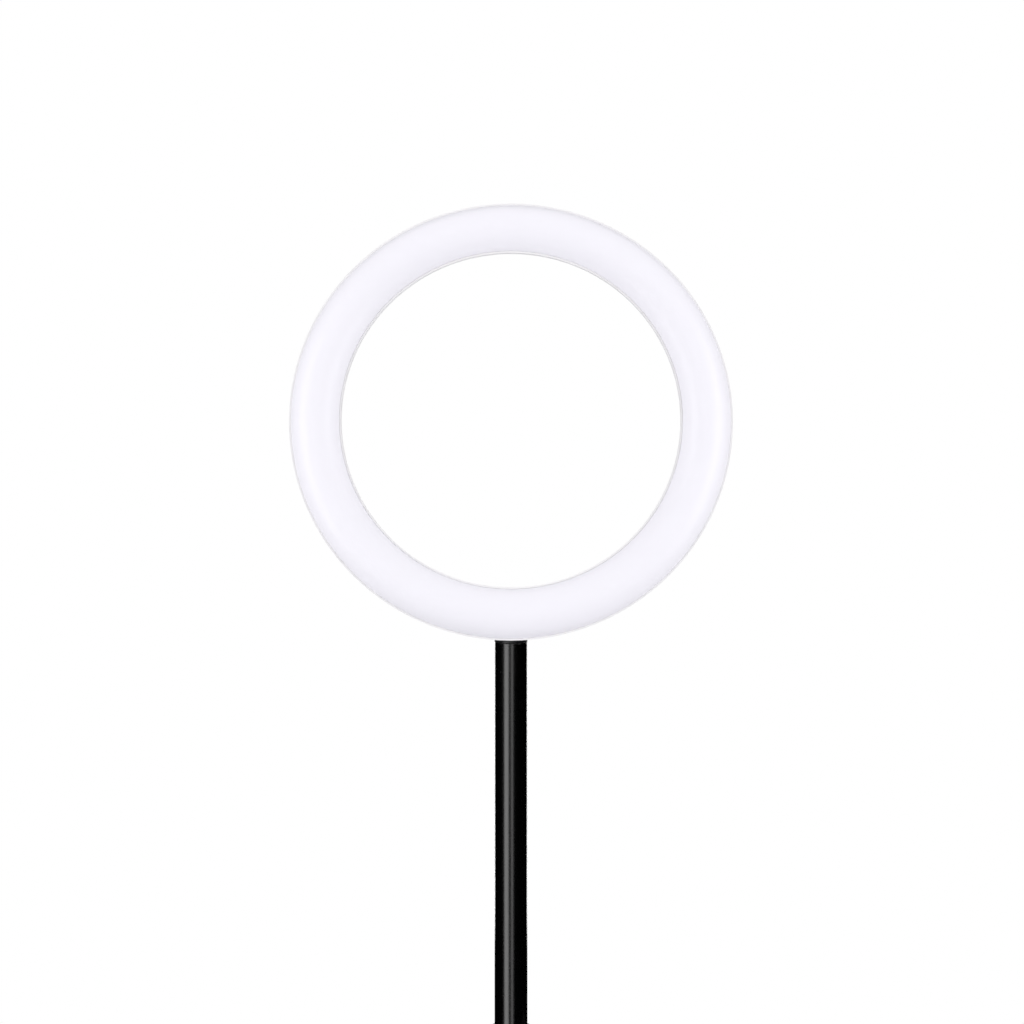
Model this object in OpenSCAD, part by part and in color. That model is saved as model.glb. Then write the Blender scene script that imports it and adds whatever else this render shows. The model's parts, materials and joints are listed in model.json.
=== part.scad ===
// Desktop ring light: a domed ring head on a tilting bracket, a telescopic column and a
// weighted round base. Millimetres, +Z up. The origin is on the table, under the column's axis,
// and the light shines towards -Y.

/* [Ring] */
// Outside diameter of the ring
ring_d = 260; // [200:5:320]
// Width of the ring's band, from its outer edge to the hole
band_w = 30.5; // [25:0.5:38]
// Depth of the rear housing behind the rim
housing_depth = 16; // [13:0.5:22]
// Wall of the rear housing
housing_wall = 2; // [1.6:0.1:2.4]
// Outside radius of the housing's back edges
housing_round = 4; // [3:0.5:5]
// Slope of the housing's outer side, in degrees
outer_taper = 8; // [0:1:12]
// Slope of the housing's inner side, in degrees
inner_taper = 20; // [8:1:22]
// Width of the rim that shows round the diffuser
rim_w = 1.1; // [0.9:0.1:1.4]
// Height of the diffuser's dome in front of the rim
dome_h = 9.5; // [6:0.5:12]
// Wall of the diffuser
diffuser_wall = 1.8; // [1.2:0.1:2.4]
// Depth of the rebate that the diffuser's skirt sits in
rebate_depth = 2.5; // [2:0.1:3.5]

/* [LED board] */
// Number of LED chips, half of each colour
led_count = 120; // [60:12:144]
// Thickness of the round LED board
board_t = 1.2; // [1:0.1:1.6]
// Distance from the rim to the front of the LED board
board_v = 7.5; // [6.5:0.1:8.5]
// Screws that hold the LED board
board_screw_count = 8; // [4:1:12]

/* [Ventilation] */
// Groups of ventilation slots in the back
vent_groups = 6; // [2:1:6]
// Slots in one group
vent_slots = 7; // [3:2:9]
// Width of one slot
vent_w = 1.6; // [1:0.1:2]
// Length of one slot across the band
vent_l = 9; // [6:0.5:10]

/* [Pods] */
// Depth of the electronics pods behind the housing
pod_depth = 9; // [8:0.5:12]
// Wall of a pod's cover
pod_wall = 1.8; // [1.4:0.1:2.2]
// Length of a pod along the band, between its end screws
pod_l = 50; // [46:1:60]
// Distance along the band from the bracket to a pod's first screw
pod_gap = 33; // [30:1:40]
// Diameter of a push button
button_d = 7; // [5:0.5:8]
// Travel of a push button
button_travel = 0.5; // [0.3:0.1:0.8]

/* [Tilt joint] */
// Tilt of the head as it stands, face up
rest_tilt = 6.5; // [-30:0.5:80]
// Distance from the housing's back to the tilt axis
bracket_reach = 24; // [22:1:32]
// Radius of the bracket's knuckle round the tilt bolt
knuckle_r = 7.5; // [6:0.5:8]
// Thickness of one ear of the yoke
ear_t = 5; // [4:0.5:6]
// Diameter of the tilt bolt
tilt_bolt_d = 6; // [5:1:6]
// Diameter of the tilt knob
tilt_knob_d = 22; // [18:1:26]
// Thickness of the tilt knob
tilt_knob_h = 13; // [11:1:18]

/* [Column] */
// Outside diameter of the upper tube
upper_tube_d = 20; // [16:1:25]
// Wall of both tubes
tube_wall = 1.2; // [1:0.1:1.6]
// Length of the upper tube
upper_tube_l = 327; // [220:1:420]
// Length of the lower tube
lower_tube_l = 205; // [160:1:320]
// Length of the upper tube inside the lower tube, as it stands
overlap = 84; // [75:1:120]
// Wall of the nylon bushes between the tubes
bush_wall = 1.3; // [1:0.1:2]
// Length of the guide bush on the upper tube's foot
guide_bush_l = 20; // [14:1:26]

/* [Column lock] */
// Wall of the lock collar round the lower tube
collar_wall = 4.5; // [3.5:0.5:6]
// Height of the lock collar
collar_h = 34; // [30:1:44]
// Diameter of the lock knob
lock_knob_d = 30; // [24:1:38]
// Thickness of the lock knob
lock_knob_h = 17; // [14:1:22]
// Diameter of the lock screw
lock_screw_d = 6; // [5:1:8]

/* [Base] */
// Diameter of the base
base_d = 200; // [160:5:260]
// Height of the base at its edge
base_edge_h = 14; // [13:0.5:20]
// Rise of the base from its edge to its middle
base_rise = 3; // [1:0.5:8]
// Wall of the pressed steel cover
cover_wall = 1.2; // [0.8:0.1:2]
// Thickness of the rubber pad
pad_t = 3; // [2:0.5:4]
// Diameter of the base bolt
base_bolt_d = 10; // [8:1:12]

/* [Clearances] */
// Gap between pieces that are fixed together
fit_gap = 0.05; // [0.02:0.01:0.1]
// Gap round a shaft that turns or slides
run_gap = 0.08; // [0.05:0.01:0.1]
// Gap between moving pieces that never touch
free_gap = 0.3; // [0.2:0.05:0.5]

/* [Hidden] */
$fn = 96;
cut = 0.5; // how far a cutting shape runs past the face it opens

// Ring: radii, and depths measured back from the rim
out_r = ring_d / 2;
in_r = out_r - band_w;
mid_r = out_r - band_w / 2;
back_v = housing_depth;
inner_back_v = back_v - housing_wall;

// Housing's section: both sides are straight as far as the lip, then slope in to round back corners
lip_v = rebate_depth - 0.5;
corner_v = back_v - housing_round;
function taper(side) = side > 0 ? outer_taper : inner_taper;
function wall_offset(side, v, inset) =
    band_w / 2 - inset / cos(taper(side)) - (v - lip_v) * tan(taper(side));
function wall_r(side, v, inset) = mid_r + side * wall_offset(side, v, inset);
function corner_r(side) = mid_r + side * wall_offset(side, corner_v, housing_round);
back_r = (corner_r(1) + corner_r(-1)) / 2;
back_half_w = (corner_r(1) - corner_r(-1)) / 2;
// Diffuser: the dome's edge stands a little over its skirt, and both walls meet on the dome's arcs
dome_half_w = band_w / 2 - rim_w - 2 * fit_gap;
skirt_half_w = dome_half_w - 0.3;
snap_v = rebate_depth / 2;
snap_r = 0.6;
dome_r = (dome_half_w * dome_half_w + dome_h * dome_h) / (2 * dome_h);
dome_v = dome_r - dome_h;
function arc_v(radius, half_w) = dome_v - sqrt(radius * radius - half_w * half_w);

// LED board and what is on it
board_back_v = board_v + board_t;
board_in_r = wall_r(-1, board_back_v, housing_wall) + 0.4;
board_out_r = wall_r(1, board_back_v, housing_wall) - 0.4;
led_size = [3.5, 2.8, 0.8];
led_r = mid_r + 2;
small_screw_d = 2.2;
small_hole_d = small_screw_d + 2 * fit_gap;
small_head_d = 4.4;
small_head_h = 1.7;
board_boss_d = 6;
board_screw_r = board_in_r + 4;
board_screw_l = 6;

// Ventilation
vent_pitch = 3.2;
vent_span = 210;

// Pods
pod_half_w = back_half_w - 0.3;
pod_round = 2.5;
pod_back_v = back_v + pod_depth;
pod_inner_v = pod_back_v - pod_wall;
pod_start_a = pod_gap / mid_r * 180 / PI;
pod_end_a = pod_start_a + pod_l / mid_r * 180 / PI;
pod_mid_a = (pod_start_a + pod_end_a) / 2;
post_d = 5.8;
post_recess = 2.1;
pod_boss_v = back_v - 5.5;
pod_board_t = 1.2;
pod_board_front_v = back_v + 1.2;
pod_board_back_v = pod_board_front_v + pod_board_t;
pod_board_half_w = pod_half_w - pod_wall - 0.4;
pod_board_inset_a = (post_d / 2 + 0.5) / mid_r * 180 / PI;
pin_d = 2.4;
pin_offset = 4;

// Buttons and switches
button_count = 4;
button_pitch_a = (pod_end_a - pod_start_a) / (button_count + 0.4);
button_proud = 1.2;
button_flange_t = 0.7;
button_flange_d = button_d + 1.6;
button_foot_v = pod_inner_v - fit_gap - button_flange_t;
button_hole_d = button_d + 0.5;
switch_w = 6;
actuator_d = 3.4;
actuator_v = button_foot_v - button_travel - fit_gap;
switch_back_v = actuator_v - 0.8;

// USB socket, status light and wires
usb_w = 8.9;
usb_h = 3.2;
usb_wall = 0.3;
usb_margin = 0.25;
usb_a = pod_mid_a + 3;
lens_d = 2.6;
lens_a = pod_mid_a - 5;
wire_d = 1.3;
wire_leg_d = wire_d + 0.3;
wire_end_d = wire_d + 0.2;
wire_pitch = 2;
wire_r = mid_r + band_w / 2 - 7.05;
wire_end_r = back_r + 2.8;
wire_v = 11.3;
wire_port_w = 3 * wire_pitch + 0.6;
wire_step_a = wire_pitch / wire_end_r * 180 / PI;
link_end_a = pod_start_a + 6.5;
feed_a = pod_end_a - 6.5;

// Tilt joint, in the column's frame
hinge_back = housing_depth + bracket_reach;
washer_t = 0.8;
washer_d = 2 * knuckle_r;
ear_out = upper_tube_d / 2 - 0.1;
ear_in = ear_out - ear_t;
knuckle_half_w = ear_in - washer_t - 2 * fit_gap;
ear_r = knuckle_r + 1;
arm_half_h = knuckle_r - 2.3;
slot_depth = 14;
shoulder_h = 2;
ear_foot_w = 13;
spigot_l = 26;
bracket_plate = [27, 2 * pod_half_w, 3];
bracket_screw_x = 9.2;
bracket_screw_d = 3;
bracket_screw_l = 9;
bracket_boss_d = 7;
hex_af_d = tilt_bolt_d * 1.92;
hex_head_h = tilt_bolt_d * 0.66;
hex_sunk = 2;
bolt_end_x = ear_out + 11.5;
knob_washer_t = 1.2;
knob_washer_d = 15;
knob_x = ear_out + knob_washer_t + 2 * fit_gap;
insert_d = tilt_bolt_d + 3.5;
insert_l = 9;

// Column, from the table up
cover_top_z = base_edge_h + base_rise;
lower_tube_z = cover_top_z;
lower_top_z = lower_tube_z + lower_tube_l;
upper_foot_z = lower_top_z - overlap;
upper_top_z = upper_foot_z + upper_tube_l;
hinge_z = upper_top_z + shoulder_h + slot_depth;
upper_bore_d = upper_tube_d - 2 * tube_wall;
lower_bore_d = upper_tube_d + 2 * bush_wall;
lower_tube_d = lower_bore_d + 2 * tube_wall;
guide_lip = 2;
clip_t = 1.2;
clip_depth = 0.4;
clip_z = upper_foot_z + guide_bush_l + fit_gap;
collar_bush_l = 24;
collar_flange_t = 2;
collar_lip_t = 2.6;
collar_d = lower_tube_d + 2 * collar_wall;
collar_top_z = lower_top_z + collar_flange_t + fit_gap + collar_lip_t;
collar_z = collar_top_z - collar_h;
yoke_screw_spacing = 11;
yoke_screw_z = upper_top_z - 7;
yoke_screw_depth = 5;

// Column lock
lock_z = lower_top_z - 12;
lock_pad_d = 8;
lock_pad_t = 2.2;
lock_pad_x = upper_tube_d / 2 + 0.15;
lock_pocket_l = 4.6;
lock_screw_x = lock_pad_x + lock_pad_t + fit_gap;
lock_boss_d = lock_screw_d + 10;
lock_boss_x = collar_d / 2 + 6;
lock_knob_x = lock_boss_x + 2.5;
lock_screw_end_x = lock_knob_x + lock_knob_h - 4;
collar_screw_d = 4;
collar_screw_l = collar_wall - 0.6;
collar_screw_z = collar_z + 8;

// Base
base_r = base_d / 2;
base_round = 4;
cover_skirt_z = 2;
base_flat_r = 24;
pad_out_r = base_r - 2.5;
pad_in_r = 36;
pad_groove_w = 2;
pad_groove_h = 1;
weight_r = base_r - cover_wall - 1;
weight_top_z = base_edge_h - cover_wall - 1;
weight_boss_r = 22;
bolt_head_h = 0.64 * base_bolt_d;
bolt_head_d = 1.96 * base_bolt_d;
base_washer_t = 2;
base_washer_d = 2.2 * base_bolt_d;
head_clear_z = 0.6;
washer_seat_z = head_clear_z + bolt_head_h + base_washer_t;
base_bolt_l = 30;
socket_l = 26;
trim_r = lower_tube_d / 2 + 10.5;
trim_h = 15;
trim_cove_r = 10;

// ---- places ----

// The head's frame: origin on the tilt axis, +Z along the ring's own upright
module head_place() {
    translate([0, 0, hinge_z])
        rotate([-rest_tilt, 0, 0])
            children();
}

// The ring's frame: origin at the middle of the rim, +Z to the back, and its bottom at 90 degrees
module ring_place() {
    head_place()
        translate([0, -hinge_back, mid_r])
            rotate([-90, 0, 0])
                children();
}

// A point of the band, at an angle from the ring's bottom towards the right, a radius and a depth
module on_band(angle, radius, depth) {
    rotate([0, 0, 90 - angle])
        translate([radius, 0, depth])
            children();
}

// Along X from a plane, on the tilt axis
module along_tilt_axis(x) {
    translate([x, 0, hinge_z])
        rotate([0, 90, 0])
            children();
}

// ---- shapes used more than once ----

// Section of the housing, closed at the front: inset is how far its walls are moved in
module housing_section(inset) {
    r = housing_round - inset;
    polygon([
        [wall_r(-1, -cut, inset), -cut],
        [wall_r(1, -cut, inset), -cut],
        [corner_r(1) + r * cos(outer_taper), corner_v + r * sin(outer_taper)],
        [corner_r(1), corner_v + r],
        [corner_r(-1), corner_v + r],
        [corner_r(-1) - r * cos(inner_taper), corner_v + r * sin(inner_taper)]
    ]);
    for (side = [-1, 1])
        translate([corner_r(side), corner_v])
            circle(r = r);
}

// Half of a pod's section, from its own middle line: half width w, from depth v0 to v1, round r
module pod_half_section(w, v0, v1, r) {
    translate([0, v0])
        square([w, v1 - v0 - r]);
    translate([0, v0])
        square([w - r, v1 - v0]);
    translate([w - r, v1 - r])
        circle(r = r);
}

// A closed pod shape along the band from angle a0 to a1, with half-round ends
module pod_solid(a0, a1, w, v0, v1, r) {
    rotate([0, 0, 90 - a1])
        rotate_extrude(angle = a1 - a0)
            translate([back_r, 0])
                for (side = [0, 1])
                    mirror([side, 0])
                        pod_half_section(w, v0, v1, r);
    for (end = [[a1, 180], [a0, 0]])
        on_band(end[0], back_r, 0)
            rotate([0, 0, end[1]])
                rotate_extrude(angle = 180)
                    pod_half_section(w, v0, v1, r);
}

// Pan head screw along +Z from its seat at z = 0: the head is below the seat
module pan_screw(d, l, head_d, head_h) {
    cylinder(d = d, h = l);
    difference() {
        translate([0, 0, -head_h])
            rotate_extrude()
                intersection() {
                    square([head_d / 2, head_h]);
                    translate([0, head_d * 0.75])
                        circle(r = head_d * 0.75);
                }
        for (turn = [0, 90])
            rotate([0, 0, turn])
                translate([-head_d * 0.3, -head_d * 0.07, -head_h - cut])
                    cube([head_d * 0.6, head_d * 0.14, head_h * 0.5 + cut]);
    }
}

// Fluted hand knob along +Z from its hub face at z = 0, without its bore
module fluted_knob(d, h, flutes) {
    hub_h = 2.5;
    flute_r = PI * d / flutes / 3.2;
    round_r = 1.8;
    difference() {
        rotate_extrude() {
            square([d * 0.34, hub_h + 1]);
            translate([0, hub_h]) {
                square([d / 2, h - hub_h - round_r]);
                square([d / 2 - round_r, h - hub_h]);
            }
            translate([d / 2 - round_r, h - round_r])
                circle(r = round_r);
        }
        for (i = [0:flutes - 1])
            rotate([0, 0, i * 360 / flutes])
                translate([d / 2 + flute_r * 0.35, 0, hub_h - cut])
                    cylinder(r = flute_r, h = h);
        translate([0, 0, h - 0.8])
            cylinder(d = d * 0.56, h = 0.8 + cut);
    }
}

// Flat ring along +Z
module washer(outer, inner, thickness) {
    difference() {
        cylinder(d = outer, h = thickness);
        translate([0, 0, -cut])
            cylinder(d = inner, h = thickness + 2 * cut);
    }
}

// Tube or sleeve along +Z
module sleeve(outer, inner, length) {
    washer(outer, inner, length);
}

// ---- ring head ----

// Section under an arc of a radius about the dome's centre, within a half width, down to a depth
module arc_section(radius, half_w, depth) {
    intersection() {
        translate([mid_r, dome_v])
            circle(r = radius);
        translate([mid_r - half_w, -dome_h - 1])
            square([2 * half_w, dome_h + 1 + depth]);
    }
}

module diffuser() {
    skirt_in_w = skirt_half_w - diffuser_wall;
    skirt_v = arc_v(dome_r, skirt_half_w) / 2;
    color([0.97, 0.96, 0.99])
        ring_place()
            rotate_extrude()
                difference() {
                    union() {
                        arc_section(dome_r, dome_half_w + 1, 0);
                        translate([mid_r - skirt_half_w, skirt_v])
                            square([2 * skirt_half_w, rebate_depth - skirt_v]);
                        for (side = [-1, 1])
                            translate([mid_r + side * skirt_half_w, snap_v])
                                circle(r = snap_r);
                    }
                    arc_section(dome_r - diffuser_wall, skirt_in_w, rebate_depth + cut);
                }
}

module housing_shell() {
    rotate_extrude()
        difference() {
            intersection() {
                housing_section(0);
                translate([in_r, 0])
                    square([band_w, back_v + cut]);
            }
            housing_section(housing_wall);
            translate([in_r + rim_w, -cut])
                square([band_w - 2 * rim_w, rebate_depth + cut]);
            for (side = [-1, 1])
                translate([mid_r + side * skirt_half_w, snap_v])
                    circle(r = snap_r + fit_gap);
        }
}

module board_screw_places() {
    for (i = [0:board_screw_count - 1])
        on_band((i + 0.5) * 360 / board_screw_count, board_screw_r, 0)
            children();
}

module pod_screw_places() {
    for (side = [-1, 1], a = [pod_start_a, pod_end_a])
        on_band(side * a, back_r, 0)
            children();
}

module bracket_screw_places() {
    for (side = [-1, 1])
        translate([side * bracket_screw_x, back_r, 0])
            children();
}

module vent_cuts() {
    for (group = [0:vent_groups - 1], i = [0:vent_slots - 1]) {
        middle = 180 - vent_span / 2 + vent_span * (group + 0.5) / vent_groups;
        on_band(middle + (i - (vent_slots - 1) / 2) * vent_pitch, back_r, inner_back_v)
            translate([-vent_l / 2, -vent_w / 2, -cut])
                cube([vent_l, vent_w, housing_wall + 2 * cut]);
    }
}

// Ports in the back for the wires: two to the power pod and one to the control pod
module wire_ports() {
    for (a = [-link_end_a, link_end_a])
        on_band(a, wire_end_r, inner_back_v)
            translate([-wire_d, -wire_port_w / 2, -cut])
                cube([2 * wire_d, wire_port_w, housing_wall + 2 * cut]);
    on_band(-feed_a, back_r, inner_back_v)
        translate([-wire_port_w / 2, -wire_d, -cut])
            cube([wire_port_w, 2 * wire_d, housing_wall + 2 * cut]);
}

// Two places on a pod's board, clear of what stands on it, where the housing and the cover hold it
module pod_pin_places(side) {
    for (step = [-1, 1])
        on_band(side * (pod_mid_a + step * button_pitch_a), back_r - pin_offset, 0)
            children();
}

// Low pads that the pod boards sit on
module board_rests() {
    for (side = [-1, 1])
        pod_pin_places(side)
            translate([0, 0, back_v - cut])
                cylinder(d = pin_d, h = pod_board_front_v - back_v + cut);
}

module rear_housing() {
    color([0.96, 0.96, 0.98])
        ring_place()
            difference() {
                union() {
                    housing_shell();
                    board_screw_places()
                        translate([0, 0, board_back_v])
                            cylinder(d = board_boss_d, h = inner_back_v - board_back_v + cut);
                    pod_screw_places()
                        translate([0, 0, pod_boss_v])
                            cylinder(d = post_d, h = inner_back_v - pod_boss_v + cut);
                    bracket_screw_places()
                        translate([0, 0, back_v - bracket_screw_l + bracket_plate[2] - 0.6])
                            cylinder(d = bracket_boss_d, h = bracket_screw_l - bracket_plate[2] - 0.6);
                    board_rests();
                }
                board_screw_places()
                    translate([0, 0, board_back_v - cut])
                        cylinder(d = small_hole_d, h = board_screw_l - board_t + 0.3 + cut);
                pod_screw_places()
                    translate([0, 0, pod_boss_v - cut])
                        cylinder(d = small_hole_d, h = back_v - pod_boss_v + 2 * cut);
                bracket_screw_places()
                    translate([0, 0, back_v - bracket_screw_l])
                        cylinder(d = bracket_screw_d + 2 * fit_gap, h = bracket_screw_l + cut);
                vent_cuts();
                wire_ports();
            }
}

module led_board() {
    color([0.9, 0.9, 0.88])
        ring_place()
            difference() {
                translate([0, 0, board_v])
                    washer(2 * board_out_r, 2 * board_in_r, board_t);
                board_screw_places()
                    translate([0, 0, board_v - cut])
                        cylinder(d = small_screw_d + 0.4, h = board_t + 2 * cut);
            }
}

module led_chips(phase) {
    pitch = 360 / led_count;
    for (i = [phase:2:led_count - 1])
        on_band((i + 0.5) * pitch, led_r, board_v - led_size[2])
            translate([-led_size[0] / 2, -led_size[1] / 2, 0])
                cube(led_size);
}

module cool_leds() {
    color([0.98, 0.95, 0.7])
        ring_place()
            led_chips(0);
}

module warm_leds() {
    color([0.98, 0.75, 0.35])
        ring_place()
            led_chips(1);
}

module board_screws() {
    color([0.75, 0.75, 0.77])
        ring_place()
            board_screw_places()
                translate([0, 0, board_v])
                    pan_screw(small_screw_d, board_screw_l, small_head_d, small_head_h);
}

// ---- electronics pods ----

// Cover of the pod on one side: side is 1 for the right and -1 for the left, seen from the front
module pod_cover(side) {
    a0 = side > 0 ? pod_start_a : -pod_end_a;
    a1 = side > 0 ? pod_end_a : -pod_start_a;
    difference() {
        union() {
            difference() {
                pod_solid(a0, a1, pod_half_w, back_v, pod_back_v, pod_round);
                pod_solid(a0, a1, pod_half_w - pod_wall, back_v - cut, pod_inner_v, pod_round - pod_wall);
            }
            for (a = [a0, a1])
                on_band(a, back_r, back_v)
                    cylinder(d = post_d, h = pod_depth - pod_wall + cut);
            pod_pin_places(side)
                translate([0, 0, pod_board_back_v])
                    cylinder(d = pin_d, h = pod_inner_v - pod_board_back_v + cut);
        }
        for (a = [a0, a1])
            on_band(a, back_r, 0) {
                translate([0, 0, back_v - cut])
                    cylinder(d = small_hole_d, h = pod_depth + 2 * cut);
                translate([0, 0, pod_back_v - post_recess])
                    cylinder(d = small_head_d + 0.5, h = post_recess + cut);
            }
    }
}

module button_places(first = 0, last = button_count - 1) {
    for (i = [first:last])
        on_band(pod_mid_a + (i - (button_count - 1) / 2) * button_pitch_a, back_r, 0)
            children();
}

module control_pod_cover() {
    color([0.96, 0.96, 0.98])
        ring_place()
            difference() {
                pod_cover(1);
                button_places()
                    translate([0, 0, pod_inner_v - cut])
                        cylinder(d = button_hole_d, h = pod_wall + 2 * cut);
            }
}

// Round-ended slot of the USB socket: full width w and height h, along the band
module usb_outline(w, h) {
    for (end = [-1, 1])
        translate([0, end * (w - h) / 2])
            circle(d = h);
    translate([-h / 2, -(w - h) / 2])
        square([h, w - h]);
}

module power_pod_cover() {
    color([0.96, 0.96, 0.98])
        ring_place()
            difference() {
                pod_cover(-1);
                on_band(-usb_a, back_r, pod_inner_v - cut)
                    linear_extrude(pod_wall + 2 * cut)
                        usb_outline(usb_w + 2 * usb_margin, usb_h + 2 * usb_margin);
                on_band(-lens_a, back_r, pod_inner_v - cut)
                    cylinder(d = lens_d + 2 * fit_gap, h = pod_wall + 2 * cut);
            }
}

module pod_screws() {
    color([0.75, 0.75, 0.77])
        ring_place()
            pod_screw_places()
                translate([0, 0, pod_back_v - post_recess])
                    mirror([0, 0, 1])
                        pan_screw(small_screw_d, pod_back_v - post_recess - pod_boss_v - 0.5,
                                  small_head_d, small_head_h);
}

// Board in the pod on one side, between the cover's two posts
module pod_board(side) {
    a0 = pod_start_a + pod_board_inset_a;
    a1 = pod_end_a - pod_board_inset_a;
    rotate([0, 0, 90 - (side > 0 ? a1 : -a0)])
        rotate_extrude(angle = a1 - a0)
            translate([back_r - pod_board_half_w, pod_board_front_v])
                square([2 * pod_board_half_w, pod_board_t]);
}

module control_board() {
    color([0.1, 0.4, 0.25])
        ring_place()
            pod_board(1);
}

module power_board() {
    color([0.1, 0.4, 0.25])
        ring_place()
            pod_board(-1);
}

module button_switches() {
    color([0.2, 0.2, 0.22])
        ring_place()
            button_places()
                translate([0, 0, pod_board_back_v]) {
                    translate([-switch_w / 2, -switch_w / 2, 0])
                        cube([switch_w, switch_w, switch_back_v - pod_board_back_v]);
                    cylinder(d = actuator_d, h = actuator_v - pod_board_back_v);
                }
}

module usb_socket() {
    color([0.8, 0.8, 0.82])
        ring_place()
            on_band(-usb_a, back_r, pod_board_back_v) {
                difference() {
                    linear_extrude(pod_back_v - pod_board_back_v - 0.1)
                        usb_outline(usb_w, usb_h);
                    translate([0, 0, 1.2])
                        linear_extrude(pod_depth)
                            usb_outline(usb_w - 2 * usb_wall, usb_h - 2 * usb_wall);
                }
                translate([-0.35, -usb_w * 0.36, 1.2])
                    cube([0.7, usb_w * 0.72, 4.2]);
            }
}

module status_lens() {
    color([0.7, 0.9, 0.75])
        ring_place()
            on_band(-lens_a, back_r, pod_board_back_v + 1.5) {
                cylinder(d = lens_d, h = pod_back_v - pod_board_back_v - 1.5 + 0.3);
                cylinder(d = lens_d + 1.2, h = pod_inner_v - pod_board_back_v - 1.5 - fit_gap);
            }
}

// Wires between the two pods, round the bottom of the housing
module link_wires() {
    color([0.15, 0.15, 0.16])
        ring_place()
            for (i = [-1:1]) {
                radius = wire_r + i * wire_pitch;
                end_a = link_end_a + i * wire_step_a;
                rotate([0, 0, 90 - end_a])
                    rotate_extrude(angle = 2 * end_a)
                        translate([radius, wire_v])
                            circle(d = wire_d);
                for (a = [-end_a, end_a]) {
                    on_band(a, wire_end_r - wire_leg_d / 2, wire_v)
                        rotate([0, 90, 0])
                            cylinder(d = wire_leg_d, h = radius - wire_end_r + wire_leg_d);
                    on_band(a, wire_end_r, wire_v)
                        cylinder(d = wire_end_d, h = pod_board_front_v - wire_v);
                }
            }
}

// Wires from the power board to the LED board
module feed_wires() {
    color([0.7, 0.12, 0.1])
        ring_place()
            for (i = [-1:1])
                on_band(-feed_a, back_r + i * wire_pitch, board_back_v)
                    cylinder(d = wire_d, h = pod_board_front_v - board_back_v);
}

module push_button(i) {
    color([0.45, 0.45, 0.5])
        ring_place()
            button_places(i, i)
                translate([0, 0, button_foot_v]) {
                    cylinder(d = button_flange_d, h = button_flange_t);
                    cylinder(d = button_d, h = pod_back_v + button_proud - button_foot_v);
                }
}

module power_button() { push_button(0); }
module brighter_button() { push_button(1); }
module dimmer_button() { push_button(2); }
module colour_button() { push_button(3); }

// ---- tilt joint ----

module tilt_bracket() {
    color([0.1, 0.1, 0.11])
        difference() {
            union() {
                ring_place()
                    translate([-bracket_plate[0] / 2, back_r - bracket_plate[1] / 2, back_v])
                        cube(bracket_plate);
                head_place() {
                    translate([-knuckle_half_w, -bracket_reach, -arm_half_h])
                        cube([2 * knuckle_half_w, bracket_reach, 2 * arm_half_h]);
                    translate([-knuckle_half_w, 0, 0])
                        rotate([0, 90, 0])
                            cylinder(r = knuckle_r, h = 2 * knuckle_half_w);
                }
            }
            head_place()
                translate([-knuckle_half_w - cut, 0, 0])
                    rotate([0, 90, 0])
                        cylinder(d = tilt_bolt_d + 2 * run_gap, h = 2 * (knuckle_half_w + cut));
            ring_place()
                bracket_screw_places() {
                    translate([0, 0, back_v - cut])
                        cylinder(d = bracket_screw_d + 2 * fit_gap, h = bracket_plate[2] + 2 * cut);
                    translate([0, 0, back_v + bracket_plate[2] - 1.6])
                        cylinder(d1 = bracket_screw_d + 2 * fit_gap, d2 = 2 * bracket_screw_d + 0.3, h = 1.6);
                }
        }
}

module bracket_screws() {
    color([0.2, 0.2, 0.22])
        ring_place()
            bracket_screw_places()
                translate([0, 0, back_v + bracket_plate[2] - bracket_screw_l]) {
                    cylinder(d = bracket_screw_d, h = bracket_screw_l - 1);
                    difference() {
                        translate([0, 0, bracket_screw_l - 1.6])
                            cylinder(d1 = bracket_screw_d, d2 = 2 * bracket_screw_d, h = 1.55);
                        translate([0, 0, bracket_screw_l - 1])
                            cylinder(d = bracket_screw_d * 0.8, h = 2, $fn = 6);
                    }
                }
}

// One ear: round at the bolt, and narrower down to the shoulder
module yoke_ear(side) {
    along_tilt_axis(side > 0 ? ear_in : -ear_out)
        linear_extrude(ear_t) {
            circle(r = ear_r);
            polygon([
                [0, ear_r],
                [0, -ear_r],
                [slot_depth + 1, -ear_foot_w / 2],
                [slot_depth + 1, ear_foot_w / 2]
            ]);
        }
}

module yoke() {
    color([0.08, 0.08, 0.09])
        difference() {
            union() {
                translate([0, 0, upper_top_z - spigot_l])
                    cylinder(d = upper_bore_d - 2 * fit_gap, h = spigot_l + 1);
                translate([0, 0, upper_top_z])
                    cylinder(d = upper_tube_d, h = shoulder_h);
                for (side = [-1, 1])
                    yoke_ear(side);
            }
            along_tilt_axis(-ear_out - cut)
                cylinder(d = tilt_bolt_d + 2 * fit_gap, h = 2 * (ear_out + cut));
            along_tilt_axis(-ear_out - cut)
                rotate([0, 0, 30])
                    cylinder(d = hex_af_d + 2 * fit_gap, h = hex_sunk + cut, $fn = 6);
            yoke_screw_places()
                cylinder(d = small_screw_d + 2 * fit_gap, h = yoke_screw_depth + tube_wall);
        }
}

// Places of the yoke's two screws at the back of the upper tube, with +Z into the tube
module yoke_screw_places() {
    for (i = [0, 1])
        translate([0, upper_tube_d / 2, yoke_screw_z - i * yoke_screw_spacing])
            rotate([90, 0, 0])
                children();
}

module yoke_screws() {
    color([0.2, 0.2, 0.22])
        yoke_screw_places()
            pan_screw(small_screw_d, yoke_screw_depth, small_head_d, small_head_h);
}

module tilt_bolt() {
    color([0.72, 0.72, 0.74]) {
        along_tilt_axis(-ear_out + hex_sunk - fit_gap)
            translate([0, 0, -1])
                cylinder(d = tilt_bolt_d, h = bolt_end_x + ear_out - hex_sunk + 1);
        along_tilt_axis(-ear_out + hex_sunk - fit_gap - hex_head_h)
            rotate([0, 0, 30])
                cylinder(d = hex_af_d, h = hex_head_h, $fn = 6);
    }
}

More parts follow.
